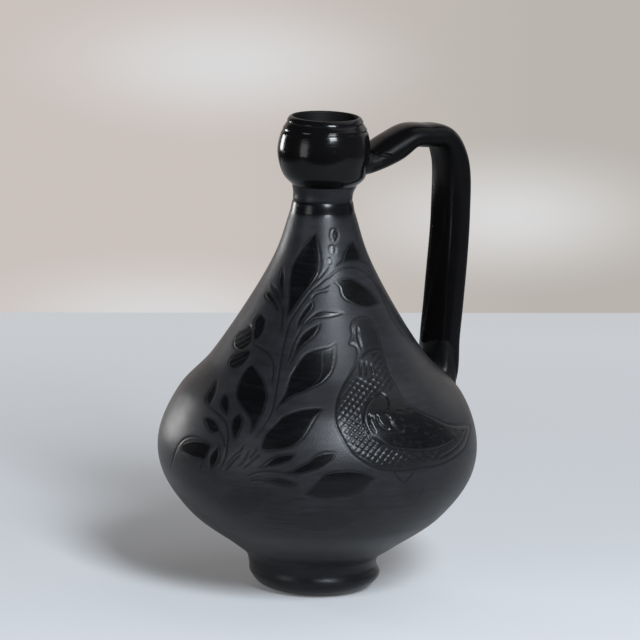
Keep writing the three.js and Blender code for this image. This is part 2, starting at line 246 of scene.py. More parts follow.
# Stems and other broad cuts of the branch
STEMS_PX = {
    "main_stem": (
        (256, 437), (260, 431.5), (264.6, 424.4), (268.6, 418), (272.2, 409), (274.6, 398), (276.2, 388),
        (278.2, 375), (280, 363.6), (281.8, 354), (283.8, 344.4), (285.8, 336), (288, 327), (292, 318),
        (298, 309), (304, 300), (310, 292), (317, 286), (325, 279), (330, 276), (336, 271), (345, 268.5),
        (353, 268), (361, 270.5), (367, 274),
    ),
    "drooping_stem": (
        (367, 274), (375, 284), (381, 294), (387.6, 309), (392.4, 319.6), (402, 333), (414, 347),
    ),
    "limb_stem": ((376, 283), (385, 297.5), (392.4, 310), (399.6, 321), (409, 331), (419, 343)),
    "limb_leaf": ((360, 240), (364, 248), (366.5, 256), (371, 266)),
    "right_leaf_stem": ((350, 260.8), (358, 260.3), (364, 262.5), (370, 266)),
    "drooping_leaf_stem": ((311, 299), (315, 294.5), (320, 292), (328, 291)),
    "drooping_leaf_vein": ((314, 291), (318.5, 289.5), (323, 288), (330, 284.5)),
    "berry_stem": ((314, 282), (321, 276), (325.5, 270), (329, 265)),
    "flower_stem": (
        (253, 343), (255, 345), (260, 348.5), (265.4, 351), (269.4, 355.5), (272, 360.5), (273, 367),
        (272.6, 375), (271.4, 384),
    ),
    "sprig_stem": ((281, 304), (282.5, 312), (282, 320), (280.5, 332)),
    "pale_leaf_stem": ((288.5, 361), (292, 347), (297, 336), (303, 325.5)),
    "curled_stem": (
        (208.5, 405.5), (214, 410), (219.7, 415), (224.4, 420.5), (226.7, 427), (227.6, 435), (226.5, 444),
        (225.5, 452), (223, 462), (219, 470),
    ),
    "bud_stem": ((219.5, 431), (222.5, 439), (225, 447)),
    "long_leaf_stem": ((249, 475.5), (258, 472.7), (270, 471.5), (283, 473)),
    "slip_leaf_stem": ((250, 481.5), (257, 480.5), (263.5, 481)),
    "arch": (
        (170, 471), (172.5, 462), (175, 453), (179, 444.5), (184, 439.3), (191, 437), (199, 438.3),
        (207, 441.5),
    ),
    "arch_stem": ((204, 460), (202, 464), (200, 469)),
    "root_ridge_one": ((244, 444), (240, 450), (234, 455), (229, 461), (225, 466)),
    "root_ridge_two": ((241, 453), (232, 462), (224, 472)),
    "root_ridge_three": ((249.5, 449), (247, 455), (243, 462), (237, 467)),
    "root_ridge_four": ((263, 453), (256, 458), (250, 464), (243, 470)),
    "low_leaf_root": ((258, 446), (255, 452), (249, 459)),
}

# Fine scratched lines
SCRATCHES_PX = {
    "high_feeler": ((256.6, 307.5), (254.5, 312), (251.9, 318.7)),
    "low_feeler": ((224.4, 355), (229, 352), (235.6, 349.5)),
    "upper_leaf_edge": ((313, 245), (315.5, 252), (317.3, 260), (317, 268), (314, 275), (309, 282)),
    "belly_leaf_edge": ((315, 414), (310.5, 422), (306, 428.5), (302, 433.5)),
    "low_broad_leaf_edge": ((370, 479), (364, 485.5), (355.5, 491.5), (345, 494.5)),
    "broad_leaf_edge": ((321.5, 350), (322.5, 362), (321, 375), (317.5, 381), (311, 386)),
    "tail_of_far_bird": ((201, 372), (191, 389.5), (179, 408), (165.6, 428)),
    "far_tail_feather_one": ((188, 388), (180, 399), (172, 411)),
    "far_tail_feather_two": ((183, 389), (175, 400), (168, 412)),
    "far_tail_feather_three": ((176, 396), (169, 407), (164, 417)),
    "foot_stem_one": ((262, 516), (275, 518), (285, 520)),
    "foot_stem_two": ((265, 521), (280, 522.5), (295, 524)),
    "foot_stem_three": ((265, 527), (280, 528.5), (293, 532), (305, 537)),
    "foot_stem_four": ((290, 511), (305, 508), (320, 507), (338, 508.5)),
    "foot_stem_five": ((285, 502), (297, 499), (306, 498)),
    "foot_stem_six": ((240, 524), (255, 530), (272, 538)),
    "turned_mark": ((271, 553), (281, 555), (293, 556.3)),
    "near_limb_stalk": ((424, 482), (420, 494), (412, 507)),
    "near_limb_leaf": ((420, 494), (430, 490), (441, 488)),
}

# The bird: its outline, clockwise from the beak, and the cuts inside it
BIRD_PX = (
    (349.8, 343.5), (352.5, 335), (351.6, 327), (352.8, 322), (356.4, 318.4), (362.4, 316.6),
    (368.4, 318.4), (374.4, 325.6), (378, 331.6), (379.5, 339), (381, 346), (382.2, 352), (384, 358),
    (387.6, 366.4), (390, 373.6), (393.6, 381), (397.2, 388), (400.8, 395), (405.6, 401), (411.6, 406),
    (418.8, 411), (426, 414.5), (434.4, 418), (444, 422.8), (452.4, 425), (459.6, 425.5), (466, 425),
    (470, 426), (468, 437), (464.4, 447), (456, 455), (444, 462.4), (432, 466), (418.8, 468),
    (406.8, 470), (396, 470.8), (381.6, 470), (369.6, 466), (360, 460), (352.5, 454), (347, 446.5),
    (342, 437.5), (338, 430), (335.3, 421), (335, 411), (336.5, 401), (340, 391), (345, 381), (351, 372),
    (355.5, 364), (357.6, 357), (358, 351.5), (356.5, 347), (353, 345), (349.8, 343.5),
)
BIRD_CUTS_PX = {
    "face": ((357.6, 327), (358, 337.5), (360, 344.8), (361, 351)),
    "ruff_one": ((365, 362), (365.5, 370), (365.5, 377)),
    "ruff_two": ((360.6, 361), (360.2, 369), (359.4, 376)),
    "ruff_three": ((369.6, 364), (370.5, 370), (372.5, 376)),
    "collar": ((361, 358), (368, 352.5), (376, 350.5), (382, 352)),
    "wing_front": (
        (379, 394), (370.8, 398.8), (366, 404.8), (363, 414.4), (363.6, 422.8), (366.6, 430), (370, 436),
    ),
    "wing_arc_one": ((368.4, 415), (369, 421), (371, 427), (375, 433)),
    "wing_arc_two": ((376.2, 415.6), (378, 421.6), (382.8, 427.6), (388.8, 430)),
    "wing_arc_three": ((388.8, 419.2), (392.4, 425.2), (397.2, 430), (403, 432)),
    "wing_shoulder": ((374.4, 398.8), (379.2, 394), (385.2, 396.4), (387.6, 403.6), (387, 411)),
    "wing_under": (
        (369.6, 437), (378, 441), (384, 445.6), (392.4, 449), (404.4, 450.4), (416.4, 451.6), (430, 450.5),
        (444, 446.5), (455, 439.5),
    ),
    "tail_line": ((466, 431), (462, 440), (453, 450), (440, 457.5)),
    "left_leg": ((393.6, 471.4), (398, 477), (404, 484)),
    "right_leg": ((414, 470.8), (410, 477), (404, 484)),
}
BIRD_HATCH_PX = (
    (370, 352), (382, 352), (387, 366), (392, 378), (397, 388), (391, 394), (380, 392), (370, 398),
    (364, 406), (361.5, 416), (365, 430), (370, 438), (382, 446), (400, 451.5), (416, 453), (432, 452),
    (446, 449), (430, 462), (418, 466), (400, 468.5), (382, 468), (369, 464), (358, 457), (350, 447.5),
    (343, 436), (338.5, 425), (337.5, 413), (340, 402), (345, 391), (351, 381), (358, 374), (366, 378),
    (373, 376),
)
HEAD_AND_BACK_PX = (
    (356, 322), (362, 318.5), (368, 320), (373.5, 327), (377, 333), (379, 341), (381, 350), (383, 358),
    (388, 370), (392, 380), (397, 390), (402, 398), (398, 402), (390, 394), (385, 384), (380, 372),
    (374, 360), (366, 354), (361, 352), (359, 344), (357.5, 336), (358, 328),
)
WING_PX = (
    (380, 397), (388, 400), (398, 397), (408, 404), (422, 412.5), (440, 421), (456, 427), (464, 430),
    (458, 438), (444, 445), (430, 449), (410, 449.5), (392, 447), (380, 439), (368, 428), (366, 412),
    (372, 401),
)
# Angles of the hatching in the picture
HATCH_TURNS = (math.radians(30), math.radians(-52))
PETAL_TURNS = (math.radians(-28),)


def station(label, radius, height):
    """A size property for one turning point of an outline: its radius and its height above the table."""
    return FloatVectorProperty(
        name=label,
        description=f"Radius and height above the table of the {label.lower()}",
        default=(radius * MM, height * MM),
        size=2,
        unit="LENGTH",
    )


def length(label, description, millimetres):
    """A size property in metres, from a size in millimetres."""
    return FloatProperty(name=label, description=description, default=millimetres * MM, unit="LENGTH")


def lamp_power(lamp, watts):
    """The power property of one of the stage's lights."""
    return FloatProperty(
        name=f"{lamp} power", description=f"Power of the {lamp.lower()} light", default=watts, unit="POWER"
    )


def linear(code):
    """An sRGB hex colour as the linear RGBA that Blender's sockets take."""
    channels = (int(code[start:start + 2], 16) / 255 for start in (1, 3, 5))
    return (*(c / 12.92 if c <= 0.04045 else ((c + 0.055) / 1.055) ** 2.4 for c in channels), 1.0)


def colour(label, description, code):
    """A colour property from an sRGB hex value."""
    return FloatVectorProperty(
        name=label, description=description, default=linear(code), size=4, min=0, max=1, subtype="COLOR"
    )


class JugSizes(bpy.types.PropertyGroup):
    """Sizes of the jug's turned outlines, its handle and its carving."""

    foot_rest: station("Foot's resting edge", 26, 0)
    foot_edge: station("Foot's lower edge", 33.2, 3.2)
    foot_bulge: station("Foot's bulge", 37.3, 8.8)
    foot_waist: station("Foot's waist", 36.5, 14)
    body_base: station("Body's base", 37.9, BODY_SEAM)
    flare: station("Flare", 47.8, 27)
    underside: station("Underside", 72, 45)
    lower_belly: station("Lower belly", 88, 68)
    belly: station("Belly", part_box("body")[1].x / MM, 88)
    shoulder: station("Shoulder", 80.5, 113)
    slope: station("Slope", 62, 133)
    cone: station("Cone", 42, 163)
    throat: station("Throat", 26, 193)
    neck_seat: station("Neck seat", 18.2, BEAD_SEAM)
    collar_foot: station("Collar's foot", 16.9, COLLAR_SEAM)
    collar_waist: station("Collar's waist", 16.8, 227.2)
    bulb_base: station("Bulb's base", 17.5, BULB_SEAM)
    bulb_underside: station("Bulb's underside", 22.7, 237.2)
    bulb_belly: station("Bulb's belly", 26.1, 249.5)
    bulb_shoulder: station("Bulb's shoulder", 24.7, 260.2)
    lip_seat: station("Lip's seat", 22.8, LIP_SEAM)
    mouth_radius: length("Mouth radius", "Radius of the pouring mouth", 17.4)
    lip_radius: length("Lip radius", "Radius of the rolled lip's outside", 20.8)
    rim_edge: length("Rim edge", "Radius of the rim's top edge", 19.5)
    bore_radius: length("Bore radius", "Radius of the passage through the neck", 11)
    bead_bulge: length("Bead bulge", "How far the neck bead stands out", 0.15)
    body_wall: length("Body wall", "Thickness of the body's wall", 6)
    bulb_wall: length("Bulb wall", "Thickness of the bulb's wall", 5)
    body_floor: length("Body floor", "Thickness of the body's floor", 7)
    strap_width: length("Strap width", "Width of the handle's strap", 29.7)
    strap_flare: length("Strap flare", "How much wider the strap is at its lower end", 1.6)
    grip_width: length("Grip width", "Width of the strap at the grip", 23.6)
    grip_thickness: length("Grip thickness", "Thickness of the strap at the grip", 16.2)
    channel_depth: length("Channel depth", "Depth of the thumb channel along the strap's back", 0.5)
    upper_luting: length("Upper luting", "Length of the clay pressed on the strap's upper end", 10)
    lower_luting: length("Lower luting", "Length of the clay pressed on the strap's lower end", 17)
    stem_cut: length("Stem cut", "Half width of the cuts that draw stems and leaf edges", 0.75)
    fine_cut: length("Fine cut", "Half width of the scratched lines", 0.5)
    stem_depth: length("Stem depth", "Depth of the cuts that draw stems and leaf edges", 0.3)
    fine_depth: length("Fine depth", "Depth of the scratched lines", 0.12)
    hatch_pitch: length("Hatch pitch", "Spacing of the cross-hatching on the bird", 3.1)
    skin_step: length("Skin step", "Size of a face on the carved skin", 0.6)
    skin_columns: IntProperty(
        name="Skin columns", description="Faces round the belly of the carved skin", default=896, min=64
    )


class JugColours(bpy.types.PropertyGroup):
    """Colours of the fired clay and of the stage."""

    ground: colour("Ground", "Matt smoked clay between the carvings", "#151517")
    ground_pale: colour("Pale ground", "Smoked clay where the wheel's wiping left it paler", "#1e1e21")
    burnished: colour("Burnished", "Clay rubbed to a shine before the smoke firing", "#050506")
    burnished_warm: colour("Warm burnish", "Burnished clay where less carbon was caught", "#0a0909")
    # Darker than the ground: partly the clay of the cuts, partly painted shade inside the shallow cuts
    groove: colour("Groove", "Clay at the bottom of a cut", "#0b0b0c")
    raw: colour("Raw inside", "Unburnished clay inside the vessel", "#0b0a0a")
    table: colour("Table", "Painted table", "#aeafb1")
    table_glow: colour("Table glow", "Pale background share of the table", "#eef0f3")
    wall: colour("Wall", "Backdrop at the left", "#cbc2bd")
    wall_dim: colour("Dim wall", "Backdrop at the right", "#bab5af")
    wall_pale: colour("Pale wall", "Backdrop where light falls on it", "#d9d8d8")
    side_wall: colour("Side wall", "Dim wall to the right of the table", "#7f8083")
    dark_studio: colour("Dark studio", "Unlit studio in front of the table and above it", "#3e3f42")


class JugStage(bpy.types.PropertyGroup):
    """Powers of the stage's lights, and the reach of its table."""

    key_power: lamp_power("Key", 64)
    top_power: lamp_power("Top", 6)
    side_power: lamp_power("Side", 12)
    back_power: lamp_power("Back", 1)
    strip_power: lamp_power("Strip", 5.8)
    table_back: length("Table back", "Reach of the table behind the jug", 839)
    table_front: length("Table front", "Reach of the table in front of the jug", 470)
    table_left: length("Table left", "Reach of the table to the left of the jug", 650)
    table_right: length("Table right", "Reach of the table to the right of the jug", 900)


def millimetres(value):
    """A length or station property in millimetres."""
    return value / MM if isinstance(value, float) else np.array(value) / MM


# Lengths below this count as none
SHORTEST = 1e-9


def smooth_path(points, steps):
    """A centripetal curve through the points, with so many steps from each to the next."""
    knots = np.asarray(points, float)
    padded = np.vstack((2 * knots[0] - knots[1], knots, 2 * knots[-1] - knots[-2]))
    share = np.linspace(0, 1, steps, endpoint=False)[:, None]
    spans = []
    for before, start, end, after in zip(padded, padded[1:], padded[2:], padded[3:]):
        legs = ((before, start), (start, end), (end, after))
        first, middle, last = (max(np.linalg.norm(q - p), SHORTEST) ** 0.5 for p, q in legs)
        straight = (end - start) / middle
        leave = ((start - before) / first - (end - before) / (first + middle) + straight) * middle
        arrive = (straight - (after - start) / (middle + last) + (after - end) / last) * middle
        spans.append(
            start + leave * share + (3 * (end - start) - 2 * leave - arrive) * share ** 2
            + (2 * (start - end) + leave + arrive) * share ** 3
        )
    return np.vstack((*spans, knots[-1:]))


def run_lengths(points):
    """Length along a line of points up to each of them."""
    return np.concatenate(([0], np.cumsum(np.linalg.norm(np.diff(points, axis=0), axis=1))))


def resampled(line, step):
    """A line of points with even steps of about that length."""
    run = run_lengths(line)
    places = np.linspace(0, run[-1], max(2, round(run[-1] / step) + 1))
    return np.column_stack([np.interp(places, run, axis) for axis in line.T])


# Steps of a smooth curve from one of its points to the next
CURVE_STEPS = 24


def even_path(points, step):
    """A smooth curve through the points, in even steps of about that length."""
    return resampled(smooth_path(points, CURVE_STEPS), step)


def smoothstep(value, low, high):
    """0 below low, 1 above high and an even ease between them."""
    share = np.clip((value - low) / (high - low), 0, 1)
    return share * share * (3 - 2 * share)


def bell(value, middle, spread):
    """1 at the middle, fading away on both sides over about that spread."""
    return np.exp(-((value - middle) / spread) ** 2)


# Small irregularities of hand throwing, in millimetres and radians
# Where the thrown axis leans to the picture's right: how far, at what height and over what spread
LEANS = ((1.2, 114, 20), (-0.25, 228, 24), (-1.1, 16, 6), (0.9, 7, 5))
# How far the rim leans that way too, and the heights between which it sets in
RIM_SWAY = 0.35
RIM_SWAY_HEIGHTS = (250, 268)
# Waves that leave the wall out of round: how many go round, the height over which they turn by a radian,
# and how strong they are
OUT_OF_ROUND = 0.16
WAVES = ((2, 37, 1), (3, -21, 0.6))
# The rim's rise for each millimetre away from the camera and to its right, and the heights where it sets in
RIM_TILT_AWAY, RIM_TILT_RIGHT = 0.031, -0.014
RIM_TILT_HEIGHTS = (261, 268)
# Clay that was pushed under the bulb on the handle's side: its thickness, middle and spread
SMEAR = 2.2
SMEAR_HEIGHT, SMEAR_RISE = 233.5, 5.5
SMEAR_TURN, SMEAR_SPREAD = -math.radians(24), math.radians(62)


def sway(heights):
    """How far the thrown axis leans sideways at each height, as x and y in millimetres."""
    lean = RIM_SWAY * smoothstep(heights, *RIM_SWAY_HEIGHTS)
    for far, height, spread in LEANS:
        lean = lean + far * bell(heights, height, spread)
    return np.multiply.outer(lean, LEVEL_RIGHT[:2])


def on_wheel(radii, heights, angles):
    """Points of a hand-thrown surface at these radii, heights and angles, in millimetres."""
    waves = sum(share * np.sin(count * angles + heights / turn) for count, turn, share in WAVES)
    off = (angles - SMEAR_TURN + math.pi) % (2 * math.pi) - math.pi
    smear = SMEAR * bell(off, 0, SMEAR_SPREAD) * bell(heights, SMEAR_HEIGHT, SMEAR_RISE)
    reach = radii + OUT_OF_ROUND * waves + smear
    x, y = reach * np.cos(angles), reach * np.sin(angles)
    slope = RIM_TILT_AWAY * LEVEL_AWAY + RIM_TILT_RIGHT * LEVEL_RIGHT
    rise = smoothstep(heights, *RIM_TILT_HEIGHTS) * (x * slope[0] + y * slope[1])
    centre = sway(heights)
    return np.stack((x + centre[..., 0], y + centre[..., 1], heights + rise), axis=-1)


def unit(vectors):
    """The same directions, each of length 1."""
    return vectors / np.linalg.norm(vectors, axis=1)[:, None]


def outline_normals(outline):
    """Outward normals of an outline of radius and height that runs up the outside."""
    along = unit(np.gradient(outline, axis=0))
    return np.column_stack((along[:, 1], -along[:, 0]))


def wall_gap(points, outline):
    """Distance of points outside a turned wall, level with them; negative inside it."""
    heights = points[..., 2]
    level = np.linalg.norm(points[..., :2] - sway(heights), axis=-1)
    return level - np.interp(heights, outline[:, 1], outline[:, 0])


def stitch(rows, ring=False):
    """Faces between rows of point numbers, and the row each face starts from.

    Neighbouring rows have the same count, double or half of it, or one point at a pole.
    """
    quads, triangles, quad_rows, triangle_rows = [], [], [], []
    pairs = list(zip(rows, rows[1:])) + ([(rows[-1], rows[0])] if ring else [])
    for number, (low, high) in enumerate(pairs):
        low_next, high_next = np.roll(low, -1), np.roll(high, -1)
        if len(low) == len(high):
            quads.append(np.column_stack((low, low_next, high_next, high)))
            quad_rows.append(np.full(len(low), number))
            continue
        if len(low) == 1:
            corners = ((np.repeat(low, len(high)), high_next, high),)
        elif len(high) == 1:
            corners = ((low, low_next, np.repeat(high, len(low))),)
        elif len(low) == 2 * len(high):
            even, odd, after = low[::2], low[1::2], low_next[1::2]
            corners = ((even, odd, high), (odd, high_next, high), (odd, after, high_next))
        else:
            even, odd, after = high[::2], high[1::2], high_next[1::2]
            corners = ((low, odd, even), (low, low_next, odd), (low_next, after, odd))
        triangles += [np.column_stack(made) for made in corners]
        triangle_rows += [np.full(len(made[0]), number) for made in corners]
    faces = [np.vstack(found) for found in (quads, triangles) if found]
    return faces, np.concatenate(quad_rows + triangle_rows)


def mesh_piece(name, points, faces, materials, face_materials=None, sharp_angle=50):
    """A smooth-shaded mesh object from points in millimetres and arrays of faces."""
    mesh = bpy.data.meshes.new(name)
    corners = np.concatenate([found.ravel() for found in faces]).astype(np.int32)
    sizes = np.concatenate([np.full(len(found), found.shape[1]) for found in faces])
    starts = np.concatenate(([0], np.cumsum(sizes)[:-1])).astype(np.int32)
    mesh.vertices.add(len(points))
    mesh.vertices.foreach_set("co", np.ascontiguousarray(points * MM, np.float32).ravel())
    mesh.loops.add(len(corners))
    mesh.polygons.add(len(sizes))
    mesh.polygons.foreach_set("loop_start", starts)
    mesh.polygons.foreach_set("vertices", corners)
    for material in materials:
        mesh.materials.append(material)
    if face_materials is not None:
        mesh.polygons.foreach_set("material_index", np.ascontiguousarray(face_materials, np.int32))
    mesh.update(calc_edges=True)
    mesh.shade_smooth()
    mesh.set_sharp_from_angle(angle=math.radians(sharp_angle))
    if mesh.validate():
        raise RuntimeError(f"{name} has faces that Blender had to mend")
    piece = bpy.data.objects.new(name, mesh)
    bpy.context.scene.collection.objects.link(piece)
    return piece


def seat(piece, slot, *nodes):
    """The piece rides with the jug and stands for its CAD nodes, which are hidden. Its slot is not used."""
    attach(piece, BODY)
    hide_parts(*nodes)


def turned_piece(name, outside, within, columns, materials, ring=True):
    """A closed turned piece: its outline runs up the outside, then down the inside."""
    outline = np.vstack((outside, within))
    angles = np.arange(columns) * 2 * math.pi / columns
    points, rows, count = [], [], 0
    for radius, height in outline:
        around = angles if radius > 0 else angles[:1] * 0
        points.append(on_wheel(np.full(len(around), radius), np.full(len(around), height), around))
        if radius <= 0:
            points[-1][:, :2] = sway(np.full(1, height))
        rows.append(np.arange(count, count + len(around)))
        count += len(around)
    faces, face_rows = stitch(rows, ring)
    inner = (face_rows >= len(outside) - 1).astype(int) * (len(materials) - 1)
    return mesh_piece(name, np.vstack(points), faces, materials, inner)


# Turning points of each outline, from the bottom up
FOOT_STATIONS = ("foot_rest", "foot_edge", "foot_bulge", "foot_waist")
BODY_STATIONS = (
    "body_base", "flare", "underside", "lower_belly", "belly",
    "shoulder", "slope", "cone", "throat", "neck_seat",
)
COLLAR_STATIONS = ("collar_foot", "collar_waist", "bulb_base")
BULB_STATIONS = ("bulb_base", "bulb_underside", "bulb_belly", "bulb_shoulder", "lip_seat")
# Throwing marks round the bulb under its lip: height, how far each stands out and how wide it is
BULB_MARKS = ((263.5, 0.3, 0.5), (262.3, -0.2, 0.7))


def stations(sizes, names):
    """Turning points of an outline, as radius and height in millimetres."""
    return [millimetres(getattr(sizes, name)[:]) for name in names]


def foot_and_body(sizes):
    """One smooth outline of the foot and one of the body, which run into each other at their seam."""
    line = smooth_path(stations(sizes, FOOT_STATIONS + BODY_STATIONS), CURVE_STEPS)
    seam = len(FOOT_STATIONS) * CURVE_STEPS
    return line[:seam + 1], line[seam:]


def body_outline(sizes, step):
    """Outside of the body from its base to the neck seat, as radius and height in millimetres."""
    return resampled(foot_and_body(sizes)[1], step)


def bulb_outline(sizes, step):
    """Outside of the mouth bulb from its base to the lip's seat, as radius and height in millimetres."""
    outline = even_path(stations(sizes, BULB_STATIONS), step)
    for height, rise, width in BULB_MARKS:
        outline[:, 0] += rise * bell(outline[:, 1], height, width)
    return outline


def collar_outline(sizes, step):
    """Outside of the neck collar, as radius and height in millimetres."""
    return even_path(stations(sizes, COLLAR_STATIONS), step)


def inset(outline, wall, low, high, narrowest):
    """The inside of a wall, from the top down, between two heights and no narrower than a bore."""
    inner = outline - wall * outline_normals(outline)
    kept = inner[(inner[:, 1] > low) & (inner[:, 1] < high) & (inner[:, 0] > narrowest)]
    return kept[::-1]


def add_node(tree, kind, inputs=None, **settings):
    """Add a node with its settings; each input takes a value or a link from another node's socket."""
    made = tree.nodes.new(kind)
    for name, value in settings.items():
        setattr(made, name, value)
    for name, value in (inputs or {}).items():
        if isinstance(value, bpy.types.NodeSocket):
            tree.links.new(value, made.inputs[name])
        else:
            made.inputs[name].default_value = value
    return made


# Socket numbers of a Mix node that mixes colours, and of one that mixes plain values
MIX_A, MIX_B, MIX_RESULT = 6, 7, 2
PLAIN_A, PLAIN_B, PLAIN_RESULT = 2, 3, 0


def per_metre(size):
    """The scale of a pattern whose features are so many millimetres wide."""
    return 1 / (size * MM)


def new_material(name):
    """An empty node material and its tree."""
    material = bpy.data.materials.new(name)
    material.use_nodes = True
    material.node_tree.nodes.clear()
    return material, material.node_tree


def smoked_graphite_clay(name, colours):
    """Smoke-fired earthenware: a matt, graphite grey ground, and leaves burnished to a black shine.

    Carbon caught in the clay makes it grey and slightly silky where the wheel left it open. Rubbing with a
    pebble closes the surface, so the same clay looks black there and mirrors its surroundings.
    """
    material, tree = new_material(name)
    place = add_node(tree, "ShaderNodeTexCoord").outputs["Object"]
    burnish = add_node(tree, "ShaderNodeAttribute", attribute_name="burnish").outputs["Fac"]
    cut = add_node(tree, "ShaderNodeAttribute", attribute_name="cut").outputs["Fac"]
    mottle = add_node(tree, "ShaderNodeTexNoise", {
        "Vector": place, "Scale": per_metre(16), "Detail": 5.0, "Roughness": 0.6,
    }).outputs["Fac"]
    wiped = add_node(tree, "ShaderNodeMapping", {
        "Vector": place, "Scale": (0.12, 0.12, 1.0),
    }).outputs["Vector"]
    wipes = add_node(tree, "ShaderNodeTexNoise", {
        "Vector": wiped, "Scale": per_metre(2.2), "Detail": 3.0, "Roughness": 0.6,
    }).outputs["Fac"]
    grain = add_node(tree, "ShaderNodeTexNoise", {
        "Vector": place, "Scale": per_metre(0.9), "Detail": 4.0, "Roughness": 0.65,
    }).outputs["Fac"]
    cloud = add_node(tree, "ShaderNodeMath", {0: mottle, 1: wipes}, operation="MULTIPLY").outputs[0]
    pale = add_node(tree, "ShaderNodeMapRange", {
        "Value": cloud, "From Min": 0.15, "From Max": 0.38,
    }).outputs["Result"]
    ground = add_node(tree, "ShaderNodeMix", {
        "Factor": pale, MIX_A: colours.ground[:], MIX_B: colours.ground_pale[:],
    }, data_type="RGBA").outputs[MIX_RESULT]
    worn = add_node(tree, "ShaderNodeMapRange", {
        "Value": wipes, "From Min": 0.45, "From Max": 0.75, "To Min": 1.0, "To Max": 0.82,
    }).outputs["Result"]
    scratched = add_node(tree, "ShaderNodeMapRange", {
        "Value": cut, "To Min": 1.0, "To Max": 0.3,
    }).outputs["Result"]
    kept = add_node(tree, "ShaderNodeMath", {0: worn, 1: scratched}, operation="MULTIPLY").outputs[0]
    rubbed = add_node(tree, "ShaderNodeMath", {0: burnish, 1: kept}, operation="MULTIPLY").outputs[0]
    leaf = add_node(tree, "ShaderNodeMix", {
        "Factor": rubbed, MIX_A: ground, MIX_B: colours.burnished[:],
    }, data_type="RGBA").outputs[MIX_RESULT]
    # Cuts take the groove colour, darker than the ground: partly the cut clay, partly painted shade in the
    # shallow cuts
    surface = add_node(tree, "ShaderNodeMix", {
        "Factor": cut, MIX_A: leaf, MIX_B: colours.groove[:],
    }, data_type="RGBA").outputs[MIX_RESULT]
    matt = add_node(tree, "ShaderNodeMapRange", {
        "Value": mottle, "From Min": 0.3, "From Max": 0.7, "To Min": 0.34, "To Max": 0.43,
    }).outputs["Result"]
    shine = add_node(tree, "ShaderNodeMapRange", {
        "Value": grain, "From Min": 0.3, "From Max": 0.7, "To Min": 0.2, "To Max": 0.28,
    }).outputs["Result"]
    roughness = add_node(tree, "ShaderNodeMix", {
        "Factor": rubbed, PLAIN_A: matt, PLAIN_B: shine,
    }).outputs[PLAIN_RESULT]
    open_clay = add_node(tree, "ShaderNodeMapRange", {
        "Value": burnish, "To Min": 0.35, "To Max": 0.1,
    }).outputs["Result"]
    relief = add_node(tree, "ShaderNodeBump", {
        "Height": grain, "Strength": open_clay, "Distance": 0.25 * MM,
    }).outputs["Normal"]
    shader = add_node(tree, "ShaderNodeBsdfPrincipled", {
        "Base Color": surface, "Roughness": roughness, "Normal": relief, "IOR": 1.26,
    })
    add_node(tree, "ShaderNodeOutputMaterial", {"Surface": shader.outputs["BSDF"]})
    return material


# Roughness of the strap where hands and pebble rubbed it most
POLISHED_ROUGHNESS = 0.14


def burnished_clay(name, colours, place_socket, stretch, smoothest, roughest, ior=1.25):
    """Burnished earthenware: black, glossy and faintly streaked the way the pebble or the wheel ran.

    The rubbed surface mirrors lamps softly; fine streaks and a few open pores break the reflections.
    """
    material, tree = new_material(name)
    if place_socket == "run":
        place = add_node(tree, "ShaderNodeAttribute", attribute_name="run").outputs["Vector"]
    else:
        place = add_node(tree, "ShaderNodeTexCoord").outputs[place_socket]
    drawn = add_node(tree, "ShaderNodeMapping", {"Vector": place, "Scale": stretch}).outputs["Vector"]
    streaks = add_node(tree, "ShaderNodeTexNoise", {
        "Vector": drawn, "Scale": per_metre(1.1), "Detail": 4.0, "Roughness": 0.55,
    }).outputs["Fac"]
    cloud = add_node(tree, "ShaderNodeTexNoise", {
        "Vector": place, "Scale": per_metre(11), "Detail": 4.0, "Roughness": 0.55,
    }).outputs["Fac"]
    pores = add_node(tree, "ShaderNodeTexNoise", {
        "Vector": place, "Scale": per_metre(1.6), "Detail": 2.0,
    }).outputs["Fac"]
    open_pores = add_node(tree, "ShaderNodeMapRange", {
        "Value": pores, "From Min": 0.24, "From Max": 0.31,
    }).outputs["Result"]
    surface = add_node(tree, "ShaderNodeMix", {
        "Factor": cloud, MIX_A: colours.burnished[:], MIX_B: colours.burnished_warm[:],
    }, data_type="RGBA").outputs[MIX_RESULT]
    mixed = add_node(tree, "ShaderNodeMath", {0: streaks, 1: cloud}, operation="ADD").outputs[0]
    roughness = add_node(tree, "ShaderNodeMapRange", {
        "Value": mixed, "From Min": 0.75, "From Max": 1.25, "To Min": smoothest, "To Max": roughest,
    }).outputs["Result"]
    if place_socket == "run":
        polish = add_node(tree, "ShaderNodeAttribute", attribute_name="polish").outputs["Fac"]
        roughness = add_node(tree, "ShaderNodeMix", {
            "Factor": polish, PLAIN_A: roughness, PLAIN_B: POLISHED_ROUGHNESS,
        }).outputs[PLAIN_RESULT]
    streak_relief = add_node(tree, "ShaderNodeBump", {
        "Height": streaks, "Strength": 0.2, "Distance": 0.2 * MM,
    }).outputs["Normal"]
    relief = add_node(tree, "ShaderNodeBump", {
        "Height": open_pores, "Strength": 0.25, "Distance": 0.15 * MM, "Normal": streak_relief,
    }).outputs["Normal"]
    shader = add_node(tree, "ShaderNodeBsdfPrincipled", {
        "Base Color": surface, "Roughness": roughness, "Normal": relief, "IOR": ior,
    })
    add_node(tree, "ShaderNodeOutputMaterial", {"Surface": shader.outputs["BSDF"]})
    return material


